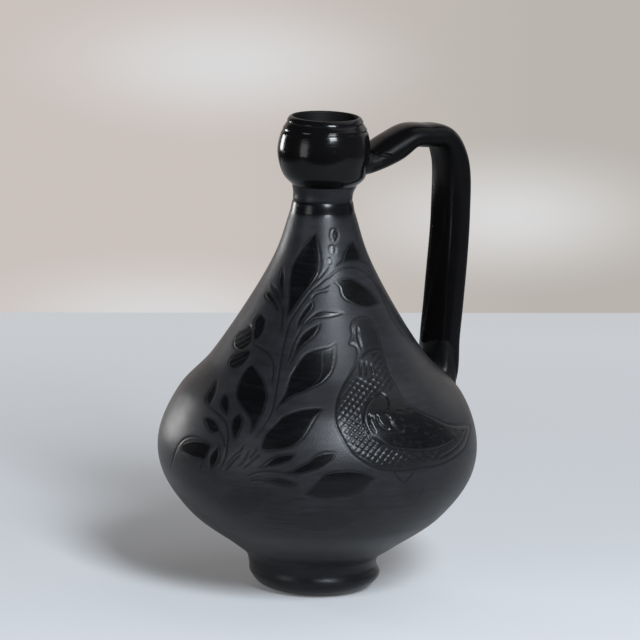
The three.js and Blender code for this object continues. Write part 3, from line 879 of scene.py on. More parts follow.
def raw_smoked_clay(name, colours):
    """Unburnished earthenware inside the vessel: dark, dry and finely ridged by the thrower's fingers."""
    material, tree = new_material(name)
    place = add_node(tree, "ShaderNodeTexCoord").outputs["Object"]
    ringed = add_node(tree, "ShaderNodeMapping", {
        "Vector": place, "Scale": (0.1, 0.1, 1.0),
    }).outputs["Vector"]
    ridges = add_node(tree, "ShaderNodeTexNoise", {
        "Vector": ringed, "Scale": per_metre(3), "Detail": 3.0,
    }).outputs["Fac"]
    shade = add_node(tree, "ShaderNodeMix", {
        "Factor": ridges, MIX_A: colours.raw[:], MIX_B: colours.burnished[:],
    }, data_type="RGBA").outputs[MIX_RESULT]
    relief = add_node(tree, "ShaderNodeBump", {
        "Height": ridges, "Strength": 0.4, "Distance": 0.5 * MM,
    }).outputs["Normal"]
    shader = add_node(tree, "ShaderNodeBsdfPrincipled", {
        "Base Color": shade, "Roughness": 0.6, "Normal": relief, "IOR": 1.2,
    })
    add_node(tree, "ShaderNodeOutputMaterial", {"Surface": shader.outputs["BSDF"]})
    return material


# Share of the table's look that is a pale background and not the light on it, near the jug and far off,
# and the distances behind the jug, in metres, between which it changes
NEAR_GLOW, FAR_GLOW = 0.1, 0.45
GLOW_DISTANCES = (0.1, 0.75)


def painted_table(colours):
    """Matt emulsion on a flat table top: pale, even and almost without shine."""
    material, tree = new_material("matt_painted_table")
    place = add_node(tree, "ShaderNodeTexCoord").outputs["Object"]
    roller = add_node(tree, "ShaderNodeTexNoise", {
        "Vector": place, "Scale": per_metre(2.5), "Detail": 3.0,
    }).outputs["Fac"]
    relief = add_node(tree, "ShaderNodeBump", {
        "Height": roller, "Strength": 0.1, "Distance": 0.2 * MM,
    }).outputs["Normal"]
    shader = add_node(tree, "ShaderNodeBsdfPrincipled", {
        "Base Color": colours.table[:], "Roughness": 0.75, "Normal": relief,
    })
    away = add_node(tree, "ShaderNodeVectorMath", {
        0: place, 1: tuple(LEVEL_AWAY),
    }, operation="DOT_PRODUCT").outputs["Value"]
    near, far = GLOW_DISTANCES
    paler = add_node(tree, "ShaderNodeMapRange", {
        "Value": away, "From Min": near, "From Max": far, "To Min": NEAR_GLOW, "To Max": FAR_GLOW,
    }).outputs["Result"]
    glow = add_node(tree, "ShaderNodeEmission", {"Color": colours.table_glow[:]})
    ray = add_node(tree, "ShaderNodeLightPath").outputs
    seen = add_node(tree, "ShaderNodeMath", {
        0: ray["Is Camera Ray"], 1: ray["Is Glossy Ray"],
    }, operation="MAXIMUM").outputs[0]
    share = add_node(tree, "ShaderNodeMath", {0: seen, 1: paler}, operation="MULTIPLY").outputs[0]
    lit = add_node(tree, "ShaderNodeMixShader", {
        0: share, 1: shader.outputs["BSDF"], 2: glow.outputs["Emission"],
    })
    add_node(tree, "ShaderNodeOutputMaterial", {"Surface": lit.outputs["Shader"]})
    return material


# Scales of the streaks along x, y and z, or across, along and off the strap: less draws them out longer
WHEEL_STREAKS = (0.1, 0.1, 1.0)
STRAP_STREAKS = (1.0, 0.06, 1.0)
SMEARED_STREAKS = (1.0, 1.0, 0.4)
# Least and most roughness of each finish, and the strap's weaker mirroring
WHEEL_ROUGHNESS = (0.13, 0.2)
STRAP_ROUGHNESS = (0.36, 0.48)
SMEARED_ROUGHNESS = (0.34, 0.46)
STRAP_IOR = 1.15


def shared_material(name, make, *arguments):
    """The material of that name, made on first use."""
    return bpy.data.materials.get(name) or make(name, *arguments)


def turned_materials(colours):
    """Burnished outside and raw inside, for the pieces turned on the wheel."""
    return (
        shared_material(
            "burnished_turned_clay", burnished_clay, colours, "Object", WHEEL_STREAKS, *WHEEL_ROUGHNESS
        ),
        shared_material("raw_smoked_clay", raw_smoked_clay, colours),
    )


def satin_materials(colours):
    """The body's smoked clay outside and raw clay inside, for pieces that are only partly burnished."""
    return (
        shared_material("smoked_graphite_clay", smoked_graphite_clay, colours),
        shared_material("raw_smoked_clay", raw_smoked_clay, colours),
    )


def write_layer(piece, name, values, kind="FLOAT", field="value"):
    """Store a value for each point of a piece, which its material reads by that name."""
    layer = piece.data.attributes.new(name, kind, "POINT")
    layer.data.foreach_set(field, np.ascontiguousarray(values, np.float32).ravel())


def burnish_by_height(piece, heights, shares):
    """Write how far a turned piece is burnished, from shares at rising heights in millimetres."""
    mesh = piece.data
    places = np.empty(len(mesh.vertices) * 3, np.float32)
    mesh.vertices.foreach_get("co", places)
    write_layer(piece, "burnish", np.interp(places[2::3] / MM, heights, shares))


def photo_rays(pixels):
    """Directions from the camera through pixels of the photograph."""
    across, down = (np.asarray(pixels, float) - FRAME_PX / 2).T / FOCAL_PX
    return CAMERA_AWAY + np.outer(across, CAMERA_RIGHT) - np.outer(down, CAMERA_UP)


# Depths from the camera between which the body's wall is looked for, and the search's steps and halvings
NEAR_DEPTH, FAR_DEPTH = 1880, 2150
DEPTH_STEPS, HALVINGS = 180, 16


def on_body(pixels, outline):
    """Where pixels of the photograph lie on the body's wall, in millimetres."""
    rays = photo_rays(pixels)
    depths = np.linspace(NEAR_DEPTH, FAR_DEPTH, DEPTH_STEPS)
    gaps = wall_gap(CAMERA_PLACE + rays[:, None] * depths[:, None], outline)
    hits = gaps < 0
    first = np.where(hits.any(1), hits.argmax(1), gaps.argmin(1)).clip(1)
    outer, inner = depths[first - 1], depths[first]
    for _ in range(HALVINGS):
        middle = (outer + inner) / 2
        outside = wall_gap(CAMERA_PLACE + rays * middle[:, None], outline) > 0
        outer, inner = np.where(outside, middle, outer), np.where(outside, inner, middle)
    return CAMERA_PLACE + rays * inner[:, None]


def inside(points, corners):
    """Which points of a plane lie inside a closed outline."""
    found = np.zeros(len(points), bool)
    x, y = points.T
    for (x0, y0), (x1, y1) in zip(corners, np.roll(corners, -1, axis=0)):
        if y0 != y1:
            crosses = (y0 > y) != (y1 > y)
            found ^= crosses & (x < (x1 - x0) * (y - y0) / (y1 - y0) + x0)
    return found


def stroke_distance(points, path):
    """Distance of points from a line, and the share of the line at which each comes nearest."""
    nearest = np.full(len(points), np.inf)
    share = np.zeros(len(points))
    for number, (start, end) in enumerate(zip(path, path[1:])):
        along = end - start
        part = np.clip((points - start) @ along / max(along @ along, SHORTEST ** 2), 0, 1)
        off = points - start - part[:, None] * along
        distance = np.einsum("ij,ij->i", off, off)
        closer = distance < nearest
        nearest[closer] = distance[closer]
        share[closer] = number + part[closer]
    return np.sqrt(nearest), share / (len(path) - 1)


# The carved skin's columns start behind the left limb, so that no stroke crosses the first column
SKIN_START = -math.pi - CAMERA_TURN - math.radians(45)
# Rings wider than these radii have all the skin's columns or half of them, and the others a quarter
WIDE_RADIUS, MIDDLE_RADIUS = 58, 29
# Steps of a line that are carved together
CHUNK = 16
# A cut starts this blunt, as a share of its width, and is full after this share of its length
BLUNT, TAPER = 0.45, 0.16
# The shape of a cut's bowl: 1 is a parabola, and more is steeper towards its middle
BOWL_POWER = 1.5
# Ground looked at outside a burnished field, and the distances from its edge over which the shine sets in
FIELD_MARGIN = 0.5
SHINE_EDGE = (0.1, 0.8)
# How much farther out than the cleared ground the repeated carving is back at full depth
CLEAR_FADE = 1.25


class CarvedSkin:
    """The body's outside as bands of rings, with the depth and the shine that carving gives each point."""

    def __init__(self, outline, columns):
        self.outline = outline
        self.normals = outline_normals(outline)
        radii = outline[:, 0]
        self.counts = np.select(
            [radii > WIDE_RADIUS, radii > MIDDLE_RADIUS], [columns, columns // 2], columns // 4
        )
        self.starts = np.concatenate(([0], np.cumsum(self.counts)))
        edges = np.concatenate(([0], np.flatnonzero(np.diff(self.counts)) + 1, [len(radii)]))
        self.bands = list(zip(edges, edges[1:]))
        rings = []
        facing = []
        for (radius, height), (out, up), count in zip(outline, self.normals, self.counts):
            angles = SKIN_START + np.arange(count) * 2 * math.pi / count
            rings.append(on_wheel(np.full(count, radius), np.full(count, height), angles))
            facing.append(np.column_stack((out * np.cos(angles), out * np.sin(angles), np.full(count, up))))
        self.points = np.vstack(rings)
        self.facing = np.vstack(facing)
        self.groove, self.swell, self.burnish, self.cut = (np.zeros(len(self.points)) for _ in range(4))

    def view(self, values, low, high):
        """One band of a value, as rows and columns."""
        count = self.counts[low]
        return values[self.starts[low]:self.starts[high]].reshape(high - low, count, *values.shape[1:])

    def angles_of(self, points):
        """Angles of points round the axis, counted on from the first column."""
        offset = points[:, :2] - sway(points[:, 2])
        return SKIN_START + (np.arctan2(offset[:, 1], offset[:, 0]) - SKIN_START) % (2 * math.pi)

    def windows(self, path, reach):
        """The parts of each band within reach of a line: the band, rows, columns and their angles."""
        angles = self.angles_of(path)
        heights = self.outline[:, 1]
        first, last = np.searchsorted(heights, (path[:, 2].min() - reach, path[:, 2].max() + reach))
        for low, high in self.bands:
            top, bottom = max(first, low), min(last, high)
            if top >= bottom:
                continue
            count = self.counts[low]
            step = 2 * math.pi / count
            spread = reach / self.outline[top:bottom, 0].min()
            left = max(0, math.floor((angles.min() - spread - SKIN_START) / step))
            right = min(count, math.ceil((angles.max() + spread - SKIN_START) / step) + 1)
            if left < right:
                rows = slice(top - low, bottom - low)
                columns = slice(left, right)
                yield low, high, rows, columns, SKIN_START + np.arange(left, right) * step

    def carve(self, path, half, depth, tapered=True, mark=1.0):
        """Cut a groove along a line, narrowing towards its ends."""
        pieces = len(path) - 1
        for start in range(0, pieces, CHUNK):
            chunk = path[start:start + CHUNK + 1]
            for low, high, rows, columns, _ in self.windows(chunk, half):
                points = self.view(self.points, low, high)[rows, columns]
                distance, share = stroke_distance(points.reshape(-1, 3), chunk)
                share = (start + share * (len(chunk) - 1)) / pieces
                ends = np.minimum(share, 1 - share) / TAPER
                full = np.clip(BLUNT + (1 - BLUNT) * ends, 0, 1) if tapered else 1.0
                bowl = np.clip(1 - (distance / (half * full)) ** 2, 0, 1)
                shape = points.shape[:2]
                groove = self.view(self.groove, low, high)[rows, columns]
                np.minimum(groove, (-depth * full * bowl ** BOWL_POWER).reshape(shape), out=groove)
                # The cut mask gives the groove's bottom the groove colour, partly painted shade
                cut = self.view(self.cut, low, high)[rows, columns]
                np.maximum(cut, (mark * bowl).reshape(shape), out=cut)

    def burnish_inside(self, path, rise, ease, shine):
        """Burnish the ground inside a closed line, and raise or sink it towards its middle."""
        corners = np.column_stack((self.angles_of(path), path[:, 2]))
        for low, high, rows, columns, angles in self.windows(path, FIELD_MARGIN):
            points = self.view(self.points, low, high)[rows, columns]
            shape = points.shape[:2]
            flat = points.reshape(-1, 3)
            within = inside(np.column_stack((np.tile(angles, shape[0]), flat[:, 2])), corners)
            distance = np.zeros(len(flat))
            distance[within] = stroke_distance(flat[within], path)[0]
            burnish = self.view(self.burnish, low, high)[rows, columns]
            np.maximum(burnish, (shine * smoothstep(distance, *SHINE_EDGE)).reshape(shape), out=burnish)
            swell = self.view(self.swell, low, high)[rows, columns]
            new = (rise * (1 - np.exp(-distance / ease))).reshape(shape)
            np.copyto(swell, new, where=within.reshape(shape) & (np.abs(new) > np.abs(swell)))

    def repeat(self, clear_of, clear_radius):
        """Repeat the carving on the far side of the jug, leaving the handle's root clear."""
        for low, high in self.bands:
            points = self.view(self.points, low, high)
            away = np.linalg.norm(points - clear_of, axis=-1)
            kept = smoothstep(away, clear_radius, clear_radius * CLEAR_FADE)
            for values, stronger in (
                (self.groove, np.minimum), (self.burnish, np.maximum), (self.cut, np.maximum),
            ):
                band = self.view(values, low, high)
                band[:] = stronger(band, np.roll(band, band.shape[1] // 2, axis=1)) * kept
            swell = self.view(self.swell, low, high)
            turned = np.roll(swell, swell.shape[1] // 2, axis=1)
            swell[:] = np.where(np.abs(turned) > np.abs(swell), turned, swell) * kept

    def carved_points(self, fade):
        """Points moved along their normals by the carving, which fades out at both seams."""
        heights = self.points[:, 2]
        ends = smoothstep(heights, heights.min(), heights.min() + fade)
        ends *= 1 - smoothstep(heights, heights.max() - fade, heights.max())
        lift = (self.groove + self.swell * (1 - self.cut)) * ends
        return self.points + self.facing * lift[:, None]


# Steps along a traced line and along a hatch line, and the picture's scale on the body
TRACE_STEP_PX = 1.3
HATCH_STEP_PX = 1.5
PIXELS_PER_MM = 1.76


def traced(pixels, outline):
    """A smooth line through pixels of the photograph, laid on the body's wall."""
    return on_body(even_path(pixels, TRACE_STEP_PX), outline)


def hatch_lines(corners, turn, pitch):
    """Straight pixel lines at one angle and spacing, clipped to a closed outline."""
    corners = np.asarray(corners, float)
    middle = corners.mean(0)
    along = np.array([math.cos(turn), math.sin(turn)])
    across = np.array([-along[1], along[0]])
    reach = np.abs(corners - middle).sum(1).max()
    places = np.arange(-reach, reach, HATCH_STEP_PX)
    for offset in np.arange(-reach, reach, pitch):
        line = middle + offset * across + places[:, None] * along
        kept = np.flatnonzero(inside(line, corners))
        if len(kept):
            for run in np.split(kept, np.flatnonzero(np.diff(kept) > 1) + 1):
                if len(run) > 2:
                    yield line[[run[0], run[len(run) // 2], run[-1]]]


# Burnished fields: how far they rise or sink, over what distance from the edge, and their shine
LEAF_FIELD = (-0.18, 1.2, 1.0)
FAINT_LEAF_FIELD = (-0.08, 1.2, 0.25)
BIRD_FIELD = (0.8, 7, 0.4)
HEAD_AND_BACK_FIELD = (0, 5, 0.55)
WING_FIELD = (0, 5, 0.9)
# How far the bottoms of the cuts take on the groove's colour, which is partly painted shade, from 0 to 1
STEM_MARK, FAINT_MARK, SCRATCH_MARK, DAB_MARK = 1.0, 0.6, 0.7, 0.5
# Widths, depths and spacing of some cuts, as shares of the sizes that a user sets
BROAD_CUT = 1.1
BIRD_CUT_DEPTH, HATCH_DEPTH, DAB_DEPTH = 0.8, 0.8, 0.5
PETAL_PITCH = 0.8
# Dabs of the tool on the wing: the seed of their places, their count, and their shortest and longest runs
DAB_SEED = 7
DAB_COUNT = 90
SHORT_DAB_PX, LONG_DAB_PX = (3, 0.5), (6, 3.5)


def carve_leaves(skin, leaves, field, half, depth, mark):
    """Burnish leaves and cut their edges."""
    for left, right in leaves.values():
        edges = [traced(edge, skin.outline) for edge in (left, right)]
        skin.burnish_inside(np.vstack((edges[0], edges[1][::-1])), *field)
        for edge in edges:
            skin.carve(edge, half, depth, mark=mark)


def carve_ornament(skin, sizes):
    """Carve the branch and the bird on the side that the photograph shows."""
    outline = skin.outline
    stem, fine = millimetres(sizes.stem_cut), millimetres(sizes.fine_cut)
    stem_depth, fine_depth = millimetres(sizes.stem_depth), millimetres(sizes.fine_depth)
    carve_leaves(skin, LEAVES_PX, LEAF_FIELD, stem, stem_depth, STEM_MARK)
    carve_leaves(skin, FAINT_LEAVES_PX, FAINT_LEAF_FIELD, fine, fine_depth, FAINT_MARK)
    for stroke in STEMS_PX.values():
        skin.carve(traced(stroke, outline), stem * BROAD_CUT, stem_depth)
    for stroke in SCRATCHES_PX.values():
        skin.carve(traced(stroke, outline), fine, fine_depth, mark=SCRATCH_MARK)
    bird = traced(BIRD_PX, outline)
    skin.burnish_inside(bird, *BIRD_FIELD)
    skin.burnish_inside(traced(HEAD_AND_BACK_PX, outline), *HEAD_AND_BACK_FIELD)
    skin.burnish_inside(traced(WING_PX, outline), *WING_FIELD)
    skin.carve(bird, stem * BROAD_CUT, stem_depth, tapered=False)
    for stroke in BIRD_CUTS_PX.values():
        skin.carve(traced(stroke, outline), stem, stem_depth * BIRD_CUT_DEPTH)
    pitch = millimetres(sizes.hatch_pitch) * PIXELS_PER_MM
    hatched = [(BIRD_HATCH_PX, HATCH_TURNS, pitch)]
    for petal in ("left_petal", "low_petal"):
        left, right = LEAVES_PX[petal]
        hatched.append((left + right[::-1], PETAL_TURNS, pitch * PETAL_PITCH))
    for corners, turns, spacing in hatched:
        for turn in turns:
            for line in hatch_lines(corners, turn, spacing):
                skin.carve(traced(line, outline), fine, fine_depth * HATCH_DEPTH)
    draws = np.random.default_rng(DAB_SEED)
    wing = np.array(WING_PX)
    for place in draws.uniform(wing.min(0), wing.max(0), (DAB_COUNT, 2)):
        if inside(place[None], wing)[0]:
            dab = draws.uniform(SHORT_DAB_PX, LONG_DAB_PX)
            line = traced((place, place + dab / 2, place + dab), outline)
            skin.carve(line, fine, fine_depth * DAB_DEPTH, mark=DAB_MARK)


# Faces round a turned piece, and the steps along its outside and along the body's hollow
TURNED_COLUMNS = 256
OUTLINE_STEP = 0.5
HOLLOW_STEP = 4
# Radius of the ring on the body's floor, as a share of the hollow's lowest radius
FLOOR_RING = 0.8
# Length over which the carving fades out at a seam, and radius of the clear ground at the handle's root
SEAM_FADE = 2.5
HANDLE_CLEARANCE = 24
# How far the neck is burnished at the bead's seam, and the height over which that shine sets in
NECK_BURNISH = 0.95
NECK_BURNISH_RUN = 3


def body_hollow(sizes):
    """The body's inside from its neck down to its floor, as radius and height in millimetres."""
    bore = millimetres(sizes.bore_radius)
    floor = BODY_SEAM + millimetres(sizes.body_floor)
    outline = body_outline(sizes, HOLLOW_STEP)
    hollow = inset(outline, millimetres(sizes.body_wall), floor, BEAD_SEAM, bore)
    return [(bore, BEAD_SEAM), *hollow, (hollow[-1][0] * FLOOR_RING, floor)]


class JUG_OT_build_body(bpy.types.Operator):
    """Build the thrown body with its carved and burnished skin"""

    bl_idname = "jug.build_body"
    bl_label = "Build carved body"

    def execute(self, context):
        sizes, colours = context.scene.jug_sizes, context.scene.jug_colours
        skin = CarvedSkin(body_outline(sizes, millimetres(sizes.skin_step)), sizes.skin_columns)
        carve_ornament(skin, sizes)
        skin.repeat(handle_root(sizes), HANDLE_CLEARANCE)
        neck = smoothstep(skin.points[:, 2], BEAD_SEAM - NECK_BURNISH_RUN, BEAD_SEAM)
        np.maximum(skin.burnish, NECK_BURNISH * neck, out=skin.burnish)
        points = [skin.carved_points(SEAM_FADE)]
        rows = [np.arange(a, b) for a, b in zip(skin.starts, skin.starts[1:])]
        outside = len(rows)
        count = skin.starts[-1]
        around = skin.counts[-1]
        hollow = body_hollow(sizes)
        for number, (radius, height) in enumerate(hollow):
            columns = around if number == 0 else around // 2
            angles = SKIN_START + np.arange(columns) * 2 * math.pi / columns
            points.append(on_wheel(np.full(columns, radius), np.full(columns, height), angles))
            rows.append(np.arange(count, count + columns))
            count += columns
        floor = hollow[-1][1]
        for height in (floor, BODY_SEAM):
            points.append(np.array([[0, 0, height]]))
            rows.append(np.array([count]))
            count += 1
        faces, face_rows = stitch([rows[-1], *rows[:-1]])
        inner = (face_rows > outside).astype(int)
        piece = mesh_piece(
            "carved_body", np.vstack(points), faces, satin_materials(colours), inner, sharp_angle=70
        )
        spare = np.zeros(count - skin.starts[-1])
        # The cut layer carries the cuts' groove colour, partly painted shade, to the material
        for name, values in (("burnish", skin.burnish), ("cut", skin.cut)):
            write_layer(piece, name, np.concatenate((values, spare)))
        seat(piece, "graphite_ground", "body")
        return {"FINISHED"}


# The V pressed into a seam
SEAM_CUT = 0.18
SEAM_WIDTH = 0.9
# Radii of the rings on the foot's underside and on its seat, as shares of their edges' radii
UNDERSIDE_RING, SEAT_RING = 0.6, 0.7
# How far the foot is burnished at its base and at its seam
FOOT_BURNISH = (0.75, 0.35)
# Steps up the neck's bead, and the power that lifts its fullest point above its middle
BEAD_STEPS = 24
BEAD_LEAN = 1.6
# How far the collar is burnished at the bead, just above it and at the bulb, and how far above it that is
COLLAR_BURNISH = (0.9, 0.05, 0.5)
COLLAR_BURNISH_RUN = 2
# The rolled lip's section in offsets: its roll from the lip's radius and seam, the rim's round from the
# rim's edge and top, and its inside from the mouth's radius and the rim's top
LIP_ROLL = ((1.3, 1.1), (0.6, 2), (0.35, 2.3), (0.6, 2.8), (0.2, 3.9), (-0.45, 4.8))
RIM_ROUND = ((0.3, -0.25), (-0.1, -0.05), (-1, 0), (-1.5, -0.4))
MOUTH_EDGE = ((0.4, -1.8), (0.2, -4))
# Height of the bulb's hollow above its seam, where it opens out of the neck
BULB_FLOOR = 0.5


def cut_seam(outline, height):
    """An outline with a shallow V pressed into it at one height."""
    bite = np.clip(1 - np.abs(outline[:, 1] - height) / SEAM_WIDTH, 0, 1)
    return outline - np.column_stack((SEAM_CUT * bite, 0 * bite))


class JUG_OT_build_foot(bpy.types.Operator):
    """Build the turned foot"""

    bl_idname = "jug.build_foot"
    bl_label = "Build turned foot"

    def execute(self, context):
        sizes, colours = context.scene.jug_sizes, context.scene.jug_colours
        side = resampled(foot_and_body(sizes)[0], OUTLINE_STEP)
        outside = np.vstack(((0, 0), (side[0][0] * UNDERSIDE_RING, 0), side))
        top = np.array(((side[-1][0] * SEAT_RING, BODY_SEAM), (0, BODY_SEAM)))
        materials = satin_materials(colours)
        piece = turned_piece("turned_foot", outside, top, TURNED_COLUMNS, materials, ring=False)
        burnish_by_height(piece, (0, BODY_SEAM), FOOT_BURNISH)
        seat(piece, "burnished_black", "foot")
        return {"FINISHED"}


class JUG_OT_build_neck(bpy.types.Operator):
    """Build the neck's bead and its waisted collar"""

    bl_idname = "jug.build_neck"
    bl_label = "Build neck"

    def execute(self, context):
        sizes, colours = context.scene.jug_sizes, context.scene.jug_colours
        bore = millimetres(sizes.bore_radius)
        materials = satin_materials(colours)
        share = np.linspace(0, 1, BEAD_STEPS + 1)
        low, high = stations(sizes, ("neck_seat", "collar_foot"))
        edge = low + np.outer(share, high - low)
        edge[:, 0] += millimetres(sizes.bead_bulge) * np.sin(math.pi * share ** BEAD_LEAN)
        edge = cut_seam(edge, COLLAR_SEAM)
        within = np.array(((bore, COLLAR_SEAM), (bore, BEAD_SEAM)))
        bead = turned_piece("neck_bead_ring", edge, within, TURNED_COLUMNS, materials)
        burnish_by_height(bead, (BEAD_SEAM - NECK_BURNISH_RUN, BEAD_SEAM), (0, NECK_BURNISH))
        seat(bead, "burnished_black", "neck_bead")
        edge = cut_seam(collar_outline(sizes, OUTLINE_STEP), COLLAR_SEAM)
        within = np.array(((bore, BULB_SEAM), (bore, COLLAR_SEAM)))
        collar = turned_piece("neck_collar_ring", edge, within, TURNED_COLUMNS, materials)
        heights = (COLLAR_SEAM, COLLAR_SEAM + COLLAR_BURNISH_RUN, BULB_SEAM)
        burnish_by_height(collar, heights, COLLAR_BURNISH)
        seat(collar, "burnished_black", "neck_collar")
        return {"FINISHED"}


class JUG_OT_build_mouth(bpy.types.Operator):
    """Build the globular mouth and its rolled lip"""

    bl_idname = "jug.build_mouth"
    bl_label = "Build mouth"

    def execute(self, context):
        sizes, colours = context.scene.jug_sizes, context.scene.jug_colours
        bore, mouth = millimetres(sizes.bore_radius), millimetres(sizes.mouth_radius)
        materials = turned_materials(colours)
        outside = bulb_outline(sizes, OUTLINE_STEP)
        hollow = inset(outside, millimetres(sizes.bulb_wall), BULB_SEAM + BULB_FLOOR, LIP_SEAM, bore)
        hollow = hollow[(hollow[:, 1] < sizes.bulb_shoulder[1] / MM) | (hollow[:, 0] > mouth)]
        within = np.vstack(((mouth, LIP_SEAM), hollow, (bore, BULB_SEAM)))
        bulb = turned_piece("globular_mouth_bulb", outside, within, TURNED_COLUMNS, materials)
        seat(bulb, "burnished_black", "mouth_bulb")
        section = [(millimetres(sizes.lip_seat[0]), LIP_SEAM)]
        for radius, height, offsets in (
            (millimetres(sizes.lip_radius), LIP_SEAM, LIP_ROLL),
            (millimetres(sizes.rim_edge), RIM_TOP, RIM_ROUND),
            (mouth, RIM_TOP, MOUTH_EDGE),
        ):
            section += [(radius + out, height + up) for out, up in offsets]
        line = even_path(section, OUTLINE_STEP / 2)
        rim = line[:, 1].argmax() + 1
        within = np.vstack((line[rim:], (mouth, LIP_SEAM)))
        lip = turned_piece("rolled_rim_lip", line[:rim], within, TURNED_COLUMNS, materials)
        seat(lip, "burnished_black", "rim_lip")
        return {"FINISHED"}


# The strap's middle line outside the walls: reach from the axis and height in millimetres, and the
# thickness as a share of the grip's
STRAP_LINE = (
    (42, 251, 1.03), (53.6, 257.2, 0.87), (63.2, 257.2, 0.86), (73.6, 255.8, 0.89),
    (80.3, 243.8, 0.96), (82, 212.1, 1), (79.3, 162, 0.97), (77.6, 140, 0.96),
)
# Heights where the strap meets the bulb and the shoulder, and its thickness at the bulb as such a share
UPPER_ROOT_HEIGHT, LOWER_ROOT_HEIGHT = 243.5, 118
ROOT_SHARE = 0.83
# How far the strap's line runs on inside the walls, dips in the bulb and turns in at the shoulder
ROOT_DEPTH = 12
UPPER_DIP, LOWER_SLANT = 1.4, 6
# How deep the strap and the clay round its ends are bedded in the walls
BEDDED = 2.5
# Points of the strap's line, counted from its end in the bulb, and the steps between two of them
ROOT_STATION, CREST_STATION, GRIP_STATION, FLARE_STATION = 1, 4, 7, 9
STRAP_STEPS = 60
# Faces along the strap and round it, and the places along it at which the walls are looked for
STRAP_ROWS, SECTION_COLUMNS = 400, 112
SEARCH_STEPS = 500
# Form of the section at the arch and at the grip: 2 is an ellipse, and more is squarer
ARCH_POWER, GRIP_POWER = 2.1, 3
# How far the grip is turned about its own line, against the arch
GRIP_TWIST = math.radians(16)
# Width of the thumb channel as a share of the strap's, and how softly it ends
CHANNEL_SHARE, CHANNEL_POWER = 0.72, 1.5
# Unevenness that pulling leaves in the thickness and in half the width: how far, over what length, and
# its shift
THICKNESS_WAVES = ((0.15, 17, 0), (0.1, 7.3, 1))
WIDTH_WAVES = ((0.15, 23, 2),)
# The grip's underside and the arch's top are rubbed smoother: angles off the strap's top, and lengths past
# the arch's crest over which the one takes over from the other
POLISHED_UNDER = (math.radians(85), math.radians(120))
POLISHED_OVER = (math.radians(45), math.radians(75))
POLISH_RUN = np.array((25, 60))
# The crease between the strap's end and the clay smeared under it, as lengths and as angles off the top
CREASE_DEPTH, CREASE_WIDTH = 1.1, 1.2
CREASE_START, CREASE_RUN = 1.5, 9
CREASE_TURN = (math.radians(20), math.radians(95))
CREASE_FADE = (math.radians(80), math.radians(115))


def handle_root(sizes):
    """Middle of the handle's lower joint on the shoulder, in millimetres."""
    outline = body_outline(sizes, HOLLOW_STEP)
    return np.array((np.interp(LOWER_ROOT_HEIGHT, outline[:, 1], outline[:, 0]), 0, LOWER_ROOT_HEIGHT))


def from_top(angles):
    """Angles of the strap's section, counted from the top down either side."""
    return np.arccos(np.clip(np.sin(angles), -1, 1))


def crease_share(angles):
    """How far along their run the crease and the smeared clay reach at each angle, from 0 to 1."""
    return smoothstep(from_top(angles), *CREASE_TURN)


def pulled_waves(lengths, waves):
    """The unevenness at lengths along the strap."""
    return sum(far * np.sin(lengths / stretch + shift) for far, stretch, shift in waves)


def middles(columns):
    """Angles of so many columns round a section, none of them straight up, down or sideways."""
    return (np.arange(columns) + 0.5) * 2 * math.pi / columns


